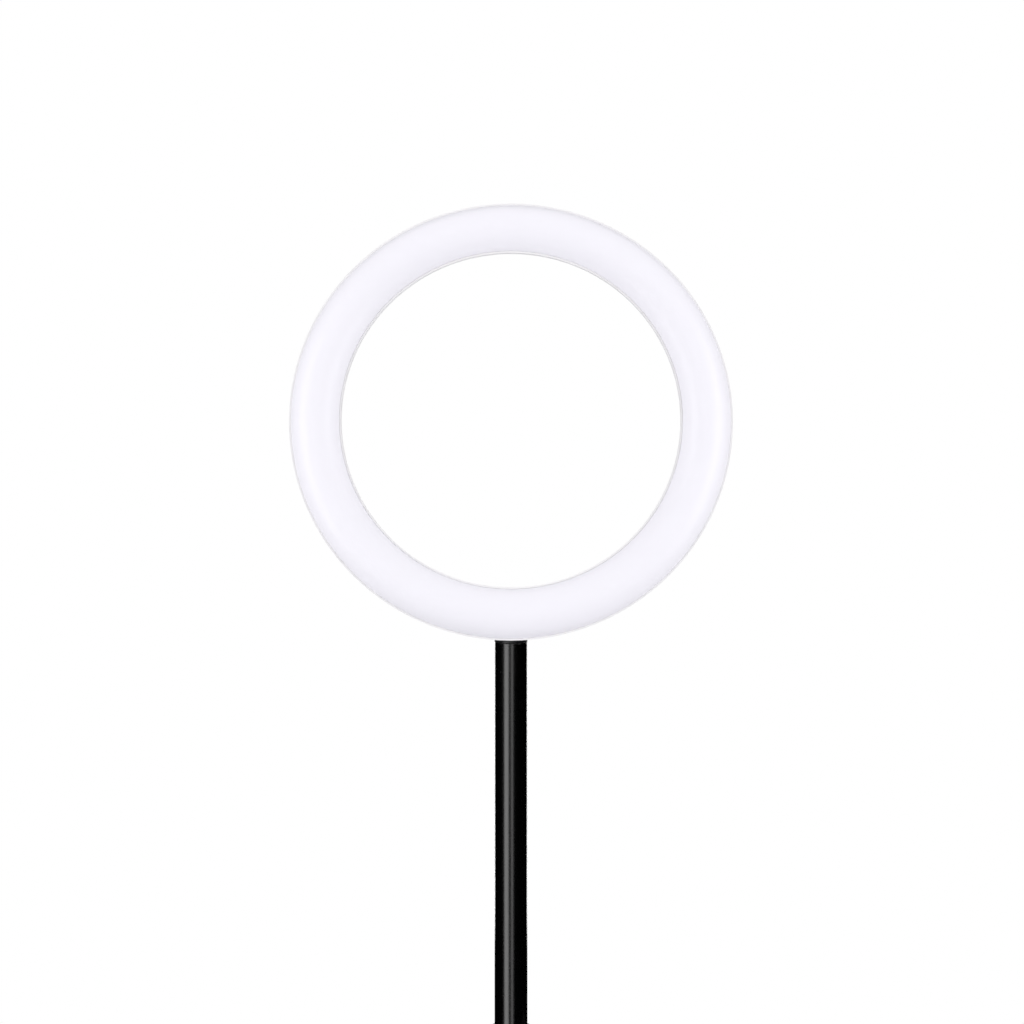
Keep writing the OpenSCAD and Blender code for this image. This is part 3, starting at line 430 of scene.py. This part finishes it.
# %% Electrical parts and washers
finish("board", (0.82, 0.82, 0.80), 0.4, grain=0.6, depth=0.004, dust=0.05)
finish("green_board", (0.015, 0.12, 0.05), 0.3, grain=0.6, depth=0.006, dust=0.1, Coat_Weight=0.3)
finish("cool_led", (0.85, 0.78, 0.25), 0.45, grain=0.2, depth=0.004, dust=0.0, tint=0.03)
finish("warm_led", (0.88, 0.52, 0.10), 0.45, grain=0.2, depth=0.004, dust=0.0, tint=0.03)
finish("nylon", (0.72, 0.70, 0.64), 0.45, grain=0.5, depth=0.01, dust=0.15)
finish("wire_black", (0.012, 0.012, 0.012), 0.4, grain=0.5, depth=0.004, dust=0.1, edge=0.0)
finish("wire_red", (0.5, 0.015, 0.012), 0.4, grain=0.5, depth=0.004, dust=0.1, edge=0.0)
finish("symbol_print", (0.85, 0.85, 0.86), 0.45, grain=0.2, depth=0.002, dust=0.05, edge=0.0)
print(len(FINISHES), "finishes")

# %% Give each piece of the model its finish
for name, node in NODES.items():
    node.data.materials.clear()
    node.data.materials.append(FINISHES[SLOTS[name]])
print("finished", len(NODES), "nodes of the model")

# %% [markdown]
# The diffuser is the piece that everyone sees, so it gets a clean lathe of its own: an arc for the dome,
# a short skirt that stands a little inside the dome's edge, and a bead that snaps into the housing.
# The seam between the dome and the white rim is kept under a tenth of a millimetre, or it would be drawn
# as a dark line. The dome is spun in many steps, because its outline is read against a plain ground.

# %% The diffuser
OPENING_W, SEAM, SKIRT_GAP = BAND_W / 2 - RIM_W, 0.06 * MM, 0.4 * MM
DOME_W, DOME_H, SKIRT_W = OPENING_W - SEAM, 9.5 * MM, OPENING_W - SKIRT_GAP
SKIRT_H, OPAL_WALL, BEAD, LIP = 2.5 * MM, 1.8 * MM, 0.55 * MM, 0.25 * MM


def arc_points(half_w, height, steps):
    """An arc over the band, from its inner to its outer edge, highest in front of the rim."""
    radius = (half_w ** 2 + height ** 2) / (2 * height)
    sweep = math.asin(half_w / radius)
    turns = [sweep * (2 * s / steps - 1) for s in range(steps + 1)]
    return [(MID_R + radius * math.sin(t), radius - height - radius * math.cos(t)) for t in turns]


outer_arc = arc_points(DOME_W, DOME_H, 56)
skirt_r = MID_R + SKIRT_W
outer_edge = [(MID_R + DOME_W, LIP), (skirt_r, LIP)]
bead = [(skirt_r + BEAD * math.sin(a), SKIRT_H / 2 - BEAD * math.cos(a))
        for a in [math.pi * s / 6 for s in range(7)]]
skirt = outer_edge + bead + [(skirt_r, SKIRT_H), (skirt_r - OPAL_WALL, SKIRT_H)]
inner_arc = arc_points(SKIRT_W - OPAL_WALL, DOME_H - OPAL_WALL, 40)
inner_skirt = [(2 * MID_R - r, z) for r, z in reversed(skirt)]
dome = turned("opal_diffuser", outer_arc + skirt + list(reversed(inner_arc)) + inner_skirt, RING,
              "head", "opal_plastic", segments=384)
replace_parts(dome, "diffuser")
print("diffuser", len(dome.data.vertices), "points")

# %% [markdown]
# The column is two drawn tubes, one sliding in the other. A long plain tube shows every fault in its
# outline and its highlight, so each is spun in 160 steps with its ends rolled over. Holes that another
# part goes through are cut with a boolean, whose result is kept as the mesh.

# %% Cut one piece out of another
def cut_away(piece, place, radius, length):
    """Cuts a round hole along the place's Z, from 0 to length."""
    bm = bmesh.new()
    bmesh.ops.create_cone(bm, cap_ends=True, segments=48, radius1=radius, radius2=radius,
                          depth=length, matrix=Matrix.Translation((0, 0, length / 2)))
    mesh = bpy.data.meshes.new("cutter")
    bm.to_mesh(mesh)
    bm.free()
    mesh.transform(place)
    cutter = bpy.data.objects.new("cutter", mesh)
    bpy.context.scene.collection.objects.link(cutter)
    cut = piece.modifiers.new("cut", "BOOLEAN")
    cut.operation, cut.object, cut.solver = "DIFFERENCE", cutter, "EXACT"
    keep_result(piece)
    bpy.data.objects.remove(cutter)


def keep_result(piece):
    """Turns what the piece's modifiers make into its mesh."""
    bpy.context.view_layer.update()
    made = piece.evaluated_get(bpy.context.evaluated_depsgraph_get())
    mesh = bpy.data.meshes.new_from_object(made)
    piece.modifiers.clear()
    piece.data = mesh
    mesh.set_sharp_from_angle(angle=math.radians(35))


# %% The two tubes of the column
def tube(name, outer, wall, low, high, body, node):
    profile = [(outer - wall, low), (outer, low), (outer, high), (outer - wall, high)]
    piece = turned(name, rounded(profile, 0.45 * wall), Matrix(), body, "black_enamel", segments=160)
    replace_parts(piece, node)
    return piece


TUBE_WALL, PAD_HOLE_R, SCREW_HOLE_R, CUT_L = 1.2 * MM, 4.1 * MM, 1.25 * MM, 20 * MM
LOCK_DOWN, SCREWS_DOWN = 12 * MM, (7 * MM, 18 * MM)
low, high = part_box("upper_tube")
UPPER_R, UPPER_TOP = high.x, high.z
upper = tube("upper_pole", UPPER_R, TUBE_WALL, low.z, high.z, "upper_column", "upper_tube")
low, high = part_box("lower_tube")
LOWER_R, LOCK_Z = high.x, high.z - LOCK_DOWN
lower = tube("lower_pole", LOWER_R, TUBE_WALL, low.z, high.z, "lower_column", "lower_tube")
cut_away(lower, along_x(0, LOCK_Z), PAD_HOLE_R, CUT_L)
to_back = Matrix.Rotation(math.radians(-90), 4, "X")
for down in SCREWS_DOWN:
    cut_away(upper, Matrix.Translation((0, 0, UPPER_TOP - down)) @ to_back, SCREW_HOLE_R, CUT_L)
print("poles", round(2 * UPPER_R * 1000, 1), "and", round(2 * LOWER_R * 1000, 1), "mm across")

# %% [markdown]
# A hand knob is moulded with flutes for the fingers. The lathe can make it: its radius is cut back
# wherever a flute runs, with a soft blend between flute and lobe so that the corners look moulded.

# %% Fluted knobs
FLUTE_BLEND = 0.5 * MM


def soft_min(a, b):
    """The smaller of two lengths, with a rounded change from one to the other."""
    h = max(min(0.5 + 0.5 * (b - a) / FLUTE_BLEND, 1), 0)
    return b + (a - b) * h - FLUTE_BLEND * h * (1 - h)


def knob(name, radius, height, flutes, place, bore, body, node):
    """A fluted hand knob on a round hub, with a bore from below and a cap in its top."""
    hub_h, hub_r, shoulder = 2.5 * MM, radius * 0.68, 2.0 * MM
    cap_r, recess, bore_end = radius * 0.56, 0.8 * MM, height - 3.4 * MM
    flute_r = 2 * math.pi * radius / flutes / 3.2
    flute_at = radius + flute_r * 0.35
    profile = [(bore, 0), (hub_r, 0), (hub_r, hub_h), (radius, hub_h), (radius, hub_h + 1.2 * MM),
               (radius, height - shoulder - 0.2 * MM), (radius, height), (cap_r, height),
               (cap_r, height - recess), (0, height - recess), (0, bore_end), (bore, bore_end)]
    corners = [0, 0.4 * MM, 0.3 * MM, 0.7 * MM, 0, 0, shoulder, 0.35 * MM, 0, 0, 0, 0]

    def reach(angle, r, z):
        if z < hub_h - 1e-6 or r < cap_r + 0.1 * MM:
            return r
        off = (angle * flutes / (2 * math.pi) + 0.5) % 1 - 0.5
        off *= 2 * math.pi / flutes
        inside = flute_r ** 2 - (flute_at * math.sin(off)) ** 2
        wall = flute_at * math.cos(off) - math.sqrt(inside) if inside > 0 else radius * 1.2
        return min(r, soft_min(r, wall))

    piece = turned(name, rounded(profile, corners, 5), place, body, "black_plastic", flutes * 28,
                   reach, crease=50)
    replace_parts(piece, node)
    cap_gap, groove = 0.12 * MM, height - 0.25 * MM
    cap = [(0, height - recess), (cap_r - cap_gap, height - recess),
           (cap_r - cap_gap, height - 0.1 * MM), (cap_r * 0.86, height - 0.02 * MM),
           (cap_r * 0.84, groove), (cap_r * 0.8, groove), (cap_r * 0.78, height - 0.02 * MM), (0, height)]
    turned(name + "_cap", rounded(cap, cap_gap), place, body, "black_plastic", 96)


low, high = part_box("tilt_knob")
knob("tilt_hand_knob", radius=11 * MM, height=13 * MM, flutes=10, place=along_x(low.x, HINGE.z),
     bore=4.8 * MM, body="tilt_clamp_knob", node="tilt_knob")
low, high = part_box("lock_knob")
knob("lock_hand_knob", radius=15 * MM, height=17 * MM, flutes=8, place=along_x(low.x, LOCK_Z),
     bore=3.05 * MM, body="lock_clamp_knob", node="lock_knob")
print("lock knob from x", round(low.x * 1000, 2), "to", round(high.x * 1000, 2))

# %% [markdown]
# The four buttons are small dished caps on a flange that keeps them in. Their signs are printed, so they
# are flat shapes that lie in the dish: a broken circle with a bar for power, a plus and a minus for
# brightness, and a half-filled disc for the colour of the light.

# %% Push buttons
POD_BACK, BUTTON_R = 25 * MM, 3.5 * MM
BUTTON_TOP, BUTTON_FOOT = POD_BACK + 1.2 * MM, POD_BACK - 2.55 * MM
FLANGE_R, FLANGE_TOP = BUTTON_R + 0.8 * MM, BUTTON_FOOT + 0.7 * MM
DISH, PRINT, ARC_STEPS = 0.35 * MM, 0.03 * MM, 40


def ring_spot(node):
    """Where a node's middle lies on the ring: a place with the world's up along its own -Y."""
    low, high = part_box(node)
    local = RING.inverted() @ ((low + high) / 2)
    return RING @ Matrix.Translation((local.x, local.y, 0))


def arc_strip(radius, width, start, end):
    """A flat ring piece between two angles, as outline points."""
    angles = [math.radians(start + (end - start) * s / ARC_STEPS) for s in range(ARC_STEPS + 1)]
    return ([(radius * math.cos(a), radius * math.sin(a)) for a in angles] +
            [((radius - width) * math.cos(a), (radius - width) * math.sin(a)) for a in reversed(angles)])


def bar(w, h, x=0.0, y=0.0):
    return [(x - w / 2, y - h / 2), (x + w / 2, y - h / 2), (x + w / 2, y + h / 2), (x - w / 2, y + h / 2)]


SIGNS = {
    "power_button": [arc_strip(1.15 * MM, 0.28 * MM, -50, 230),
                     bar(0.28 * MM, 1.1 * MM, y=-0.95 * MM)],
    "brighter_button": [bar(2.2 * MM, 0.32 * MM), bar(0.32 * MM, 0.94 * MM, y=0.63 * MM),
                        bar(0.32 * MM, 0.94 * MM, y=-0.63 * MM)],
    "dimmer_button": [bar(2.2 * MM, 0.32 * MM)],
    "colour_button": [arc_strip(1.2 * MM, 0.26 * MM, 90, 270),
                      arc_strip(1.2 * MM, 1.19 * MM, -90, 90)],
}
for node, sign in SIGNS.items():
    place, body = ring_spot(node), node + "_body"
    profile = [(0, BUTTON_FOOT), (FLANGE_R, BUTTON_FOOT), (FLANGE_R, FLANGE_TOP),
               (BUTTON_R, FLANGE_TOP), (BUTTON_R, BUTTON_TOP), (BUTTON_R * 0.78, BUTTON_TOP),
               (BUTTON_R * 0.6, BUTTON_TOP - DISH), (0, BUTTON_TOP - DISH)]
    corners = [0, 0.1 * MM, 0.1 * MM, 0, 0.5 * MM, 0.4 * MM, 0.5 * MM, 0]
    cap = turned(node + "_cap", rounded(profile, corners, 5), place, body, "grey_button", 96)
    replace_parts(cap, node)
    bm = bmesh.new()
    for outline in sign:
        put_prism(bm, outline, BUTTON_TOP - DISH - PRINT, BUTTON_TOP - DISH + PRINT)
    as_piece(node + "_sign", bm, place, body, "white_plastic", looks="symbol_print")
print(len(SIGNS), "buttons with signs")

# %% [markdown]
# Beside the buttons' pod is the pod for power. Its status light is a tiny domed lens, and its socket is
# a thin folded shell round a black tongue with gold contacts.

# %% Status lens and socket
LENS_R, LENS_COLLAR_R, LENS_FOOT, LENS_COLLAR_TOP = 1.3 * MM, 1.9 * MM, 19.9 * MM, POD_BACK - 1.9 * MM
lens = [(0, LENS_FOOT), (LENS_COLLAR_R, LENS_FOOT), (LENS_COLLAR_R, LENS_COLLAR_TOP),
        (LENS_R, LENS_COLLAR_TOP), (LENS_R, POD_BACK - 0.05 * MM),
        (LENS_R * 0.8, POD_BACK + 0.17 * MM), (LENS_R * 0.45, POD_BACK + 0.27 * MM),
        (0, POD_BACK + 0.3 * MM)]
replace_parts(turned("status_dome", lens, ring_spot("status_lens"), "head", "lens", 64), "status_lens")

SOCKET_W, SOCKET_H, SOCKET_FOOT, SHELL = 8.9 * MM, 3.2 * MM, 18.4 * MM, 0.3 * MM
SOCKET_FLOOR, TONGUE, CONTACT = SOCKET_FOOT + 1.2 * MM, (0.7 * MM, 6.4 * MM), (0.04 * MM, 0.28 * MM)
CONTACT_PITCH, CONTACTS, END_STEPS = 0.5 * MM, 12, 12


def slot_outline(w, h):
    """A slot with round ends, long along Y."""
    points = []
    for end in (1, -1):
        points += [(h / 2 * math.cos(a) * end, ((w - h) / 2 + h / 2 * math.sin(a)) * end)
                   for a in [math.pi * s / END_STEPS for s in range(END_STEPS + 1)]]
    return points


low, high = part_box("usb_socket")
local = RING.inverted() @ ((low + high) / 2)
socket_place = on_band(math.degrees(math.atan2(local.x, local.y)), math.hypot(local.x, local.y), 0)
bm = bmesh.new()
outside = slot_outline(SOCKET_W, SOCKET_H)
inside = slot_outline(SOCKET_W - 2 * SHELL, SOCKET_H - 2 * SHELL)
levels = [(outside, SOCKET_FOOT), (outside, POD_BACK - 0.2 * MM), (inside, POD_BACK - 0.1 * MM),
          (inside, SOCKET_FLOOR)]
loops = [[bm.verts.new((x, y, z)) for x, y in points] for points, z in levels]
for below, above in zip(loops, loops[1:]):
    for i in range(len(below)):
        n = (i + 1) % len(below)
        bm.faces.new([below[i], below[n], above[n], above[i]])
bm.faces.new(list(reversed(loops[0])))
bm.faces.new(loops[-1])
shell = as_piece("socket_sleeve", bm, socket_place, "head", "socket_shell")
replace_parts(shell, "usb_socket")
bm = bmesh.new()
put_prism(bm, bar(*TONGUE), SOCKET_FLOOR, POD_BACK - 1.2 * MM, 0.15 * MM)
as_piece("socket_tongue", bm, socket_place, "head", "black_plastic")
bm = bmesh.new()
for i in range(CONTACTS):
    for side in (-1, 1):
        contact = bar(*CONTACT, side * 0.36 * MM, (i - (CONTACTS - 1) / 2) * CONTACT_PITCH)
        put_prism(bm, contact, SOCKET_FLOOR + 0.1 * MM, POD_BACK - 1.7 * MM)
as_piece("socket_contacts", bm, socket_place, "head", "brass")
print("socket faces", len(shell.data.polygons))

# %% [markdown]
# The base is a pressed steel dish over an iron weight. A press rounds its outer edge and leaves a small
# hem at the foot. A cast trim ring with a hollow curve hides where the pole goes in.

# %% The base
low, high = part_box("base_cover")
BASE_R, COVER_FOOT, COVER_TOP = high.x, low.z, high.z
EDGE_H, COVER_WALL, FLAT_R, BOLT_HOLE_R = 14 * MM, 1.2 * MM, 24 * MM, 5.3 * MM
HEM, SHOULDER_R, FLAT_BEND = COVER_WALL * 0.5, 4 * MM, 3 * MM
inner_r, inner_top = BASE_R - COVER_WALL, COVER_TOP - COVER_WALL
cover = [(BASE_R, COVER_FOOT), (BASE_R, EDGE_H), (FLAT_R, COVER_TOP), (BOLT_HOLE_R, COVER_TOP),
         (BOLT_HOLE_R, inner_top), (FLAT_R, inner_top), (inner_r, EDGE_H - COVER_WALL),
         (inner_r, COVER_FOOT)]
corners = [HEM, SHOULDER_R, FLAT_BEND, 0, 0, FLAT_BEND, SHOULDER_R - COVER_WALL, HEM]
dish = turned("base_dish", rounded(cover, corners, 10), Matrix(), "lower_column", "black_enamel", 288)
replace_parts(dish, "base_cover")

low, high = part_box("base_trim")
TRIM_R, TRIM_FOOT, TRIM_TOP = high.x, low.z, high.z
COVE_R, COVE_OUT, COVE_STEPS, TRIM_GAP = 10 * MM, 3 * MM, 16, 0.05 * MM
start = math.asin(math.sqrt(COVE_R ** 2 - COVE_OUT ** 2) / COVE_R)
cove = [(TRIM_R + COVE_OUT - COVE_R * math.cos(a), TRIM_TOP - COVE_R * math.sin(a))
        for a in [start * (1 - s / COVE_STEPS) for s in range(COVE_STEPS + 1)]]
trim_hole = LOWER_R + TRIM_GAP
trim = [(trim_hole, TRIM_FOOT), (TRIM_R, TRIM_FOOT)] + cove + [(trim_hole, TRIM_TOP)]
corners = [0, 0.4 * MM, 0.5 * MM] + [0] * (COVE_STEPS - 1) + [0.5 * MM, 0.3 * MM]
trim_ring = turned("trim_ring", rounded(trim, corners), Matrix(), "lower_column", "black_cast", 160)
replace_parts(trim_ring, "base_trim")
print("base", round(BASE_R * 2000), "mm across")

# %% [markdown]
# The parts that stay as the engineering model made them have mathematically sharp edges. Nothing cast or
# moulded does, so each gets a small bevel. The model keeps the faces apart, so they are first welded, and
# the flat faces are made whole again, or the bevel would trip over their triangles.

# %% Soften the parts that stay
SHARP = math.radians(50)


def soften(node, width):
    """Rounds the sharp edges of a piece of the model, with modifiers only."""
    part = NODES[node]
    weld = part.modifiers.new("weld", "WELD")
    weld.merge_threshold = 1e-6
    whole = part.modifiers.new("whole", "DECIMATE")
    whole.decimate_type, whole.angle_limit = "DISSOLVE", math.radians(0.2)
    edge = part.modifiers.new("edge", "BEVEL")
    edge.width, edge.segments, edge.limit_method = width, 2, "ANGLE"
    edge.angle_limit, edge.harden_normals = SHARP, True


for node, width in {"yoke": 0.5, "tilt_bracket": 0.6, "lock_collar": 0.4}.items():
    soften(node, width * MM)

# %% [markdown]
# The studio is a white table-top with soft boxes. The floor only has to catch the soft shadow close to
# the base, so further out it fades to plain white. The ground behind is white where the camera looks
# at it, but it lights the scene less, or the white ring would have no shape against it. Gloss sees
# neither, so that the black pole shows only the strips that are put there for it.

# %% The world
world = bpy.data.worlds.new("studio")
bpy.context.scene.world = world
world.use_nodes = True
tree = world.node_tree
tree.nodes.clear()
rays = add(tree, "ShaderNodeLightPath").outputs
fill = add(tree, "ShaderNodeBackground", Color=(0.99, 0.98, 1.0, 1), Strength=0.675).outputs[0]
unlit = add(tree, "ShaderNodeBackground", Color=(1, 1, 1, 1), Strength=0.0).outputs[0]
plain = add(tree, "ShaderNodeBackground", Color=(1, 1, 1, 1), Strength=1.0).outputs[0]
glossy = add(tree, "ShaderNodeMixShader", i0=rays["Is Glossy Ray"], i1=fill, i2=unlit).outputs[0]
seen = add(tree, "ShaderNodeMixShader", i0=rays["Is Camera Ray"], i1=glossy, i2=plain).outputs[0]
add(tree, "ShaderNodeOutputWorld", Surface=seen)
bpy.context.scene.view_settings.view_transform = "Standard"

# %% The floor
FLOOR_R, SHADOW_TO, PLAIN_FROM = 3.0, 0.12, 0.30
bm = bmesh.new()
for x, y in ((-1, -1), (1, -1), (1, 1), (-1, 1)):
    bm.verts.new((x * FLOOR_R, y * FLOOR_R, 0))
bm.faces.new(bm.verts)
mesh = bpy.data.meshes.new("floor")
bm.to_mesh(mesh)
bm.free()
floor = bpy.data.objects.new("floor", mesh)
bpy.context.scene.collection.objects.link(floor)
floor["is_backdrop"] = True
table = bpy.data.materials.new("table_top")
table.use_nodes = True
tree = table.node_tree
shader = tree.nodes["Principled BSDF"]
shader.inputs["Base Color"].default_value = (0.86, 0.86, 0.87, 1)
shader.inputs["Roughness"].default_value = 0.7
shader.inputs["Specular IOR Level"].default_value = 0.1
rays = add(tree, "ShaderNodeLightPath").outputs
place = add(tree, "ShaderNodeTexCoord").outputs["Object"]
away = add(tree, "ShaderNodeVectorMath", {"operation": "LENGTH"}, i0=place).outputs["Value"]
far = math_node(tree, "MULTIPLY", spread(tree, away, SHADOW_TO, PLAIN_FROM), rays["Is Camera Ray"])
white = add(tree, "ShaderNodeEmission", Color=(1, 1, 1, 1), Strength=1.0).outputs[0]
clear = add(tree, "ShaderNodeBsdfTransparent").outputs[0]
ground = add(tree, "ShaderNodeMixShader", i0=far, i1=shader.outputs[0], i2=white).outputs[0]
ground = add(tree, "ShaderNodeMixShader", i0=rays["Is Glossy Ray"], i1=ground, i2=clear).outputs[0]
put(tree, ground, tree.nodes["Material Output"].inputs["Surface"])
floor.data.materials.append(table)
print("floor", FLOOR_R * 2, "m wide, plain from", PLAIN_FROM)

# %% [markdown]
# In a studio a white dome and a black gloss pole are lit apart, with flags between them. Here each lamp may
# light only one group of pieces. Broad boxes at both sides and one high in front shape the pale pieces.
# The dark ones need only two narrow reflections, one strong at the left and one weak near the middle,
# and a few behind.

# %% Pale pieces and dark pieces
pale, dark = bpy.data.collections.new("pale_pieces"), bpy.data.collections.new("dark_pieces")
PALE_SLOTS = ["opal_plastic", "white_plastic", "symbol_print", "grey_button", "nylon", "lens"]
PALE_FINISHES = [table] + [FINISHES[slot] for slot in PALE_SLOTS]
for piece in [o for o in bpy.context.scene.objects if o.type == "MESH"]:
    (pale if piece.data.materials[0] in PALE_FINISHES else dark).objects.link(piece)


# %% The lamps
def softbox(name, azimuth, elevation, distance, size, power, on=None, gloss=False, diffuse=True,
            height=0.5):
    """A soft box round the object: azimuth 0 is in front, and 90 is at its right. on is the group of
    pieces that it lights, and without it every piece is lit."""
    data = bpy.data.lights.new(name, "AREA")
    data.shape = "RECTANGLE"
    data.size, data.size_y = size
    data.energy = power
    light = bpy.data.objects.new(name, data)
    a, e = math.radians(azimuth), math.radians(elevation)
    back = Vector((math.sin(a) * math.cos(e), -math.cos(a) * math.cos(e), math.sin(e)))
    light.location = Vector((0, 0, height)) + back * distance
    light.rotation_mode = "QUATERNION"
    light.rotation_quaternion = (-back).to_track_quat("-Z", "Y")
    light.visible_camera = False
    light.visible_glossy, light.visible_diffuse = gloss, diffuse
    light.light_linking.receiver_collection = on
    bpy.context.scene.collection.objects.link(light)


softbox("left_box", -56, 5, 1.5, (0.8, 1.6), 7.8, pale, gloss=True)
softbox("right_box", 56, 5, 1.5, (0.8, 1.6), 8.1, pale, gloss=True)
softbox("top_box", 0, 88, 1.5, (1.6, 1.0), 2.1)
softbox("top_back_box", 0, 115, 1.5, (1.6, 1.0), 2.4)
softbox("front_box", 0, 8, 1.8, (1.6, 1.6), 0.9)
softbox("high_box", 0, 62, 1.5, (1.6, 1.0), 2.0, pale)
softbox("left_side_box", -95, 5, 1.5, (1.0, 1.6), 2.0)
softbox("right_side_box", 95, 5, 1.5, (1.0, 1.6), 1.1)
STRIPS = [("left_strip", -32, 0, 0.8, 2.6, 17.2, 0.2), ("middle_strip", 7, 0, 0.4, 2.6, 4.2, 0.2),
          ("back_left_strip", -160, 10, 0.4, 1.8, 6, 0.3), ("back_right_strip", 158, 10, 0.4, 1.8, 6, 0.3),
          ("overhead_strip", 0, 89, 1.4, 0.5, 5, 0.5)]
for name, azimuth, elevation, width, length, power, height in STRIPS:
    softbox(name, azimuth, elevation, 1.5, (width, length), power, dark, gloss=True, diffuse=False,
            height=height)

# %% How far the pieces reach past the model's box
new_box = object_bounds()
grown = [round((new_box[1][i] - new_box[0][i] - CAD_BOX[1][i] + CAD_BOX[0][i]) * 1000, 2) for i in range(3)]
print("visual box grew by", grown, "mm")
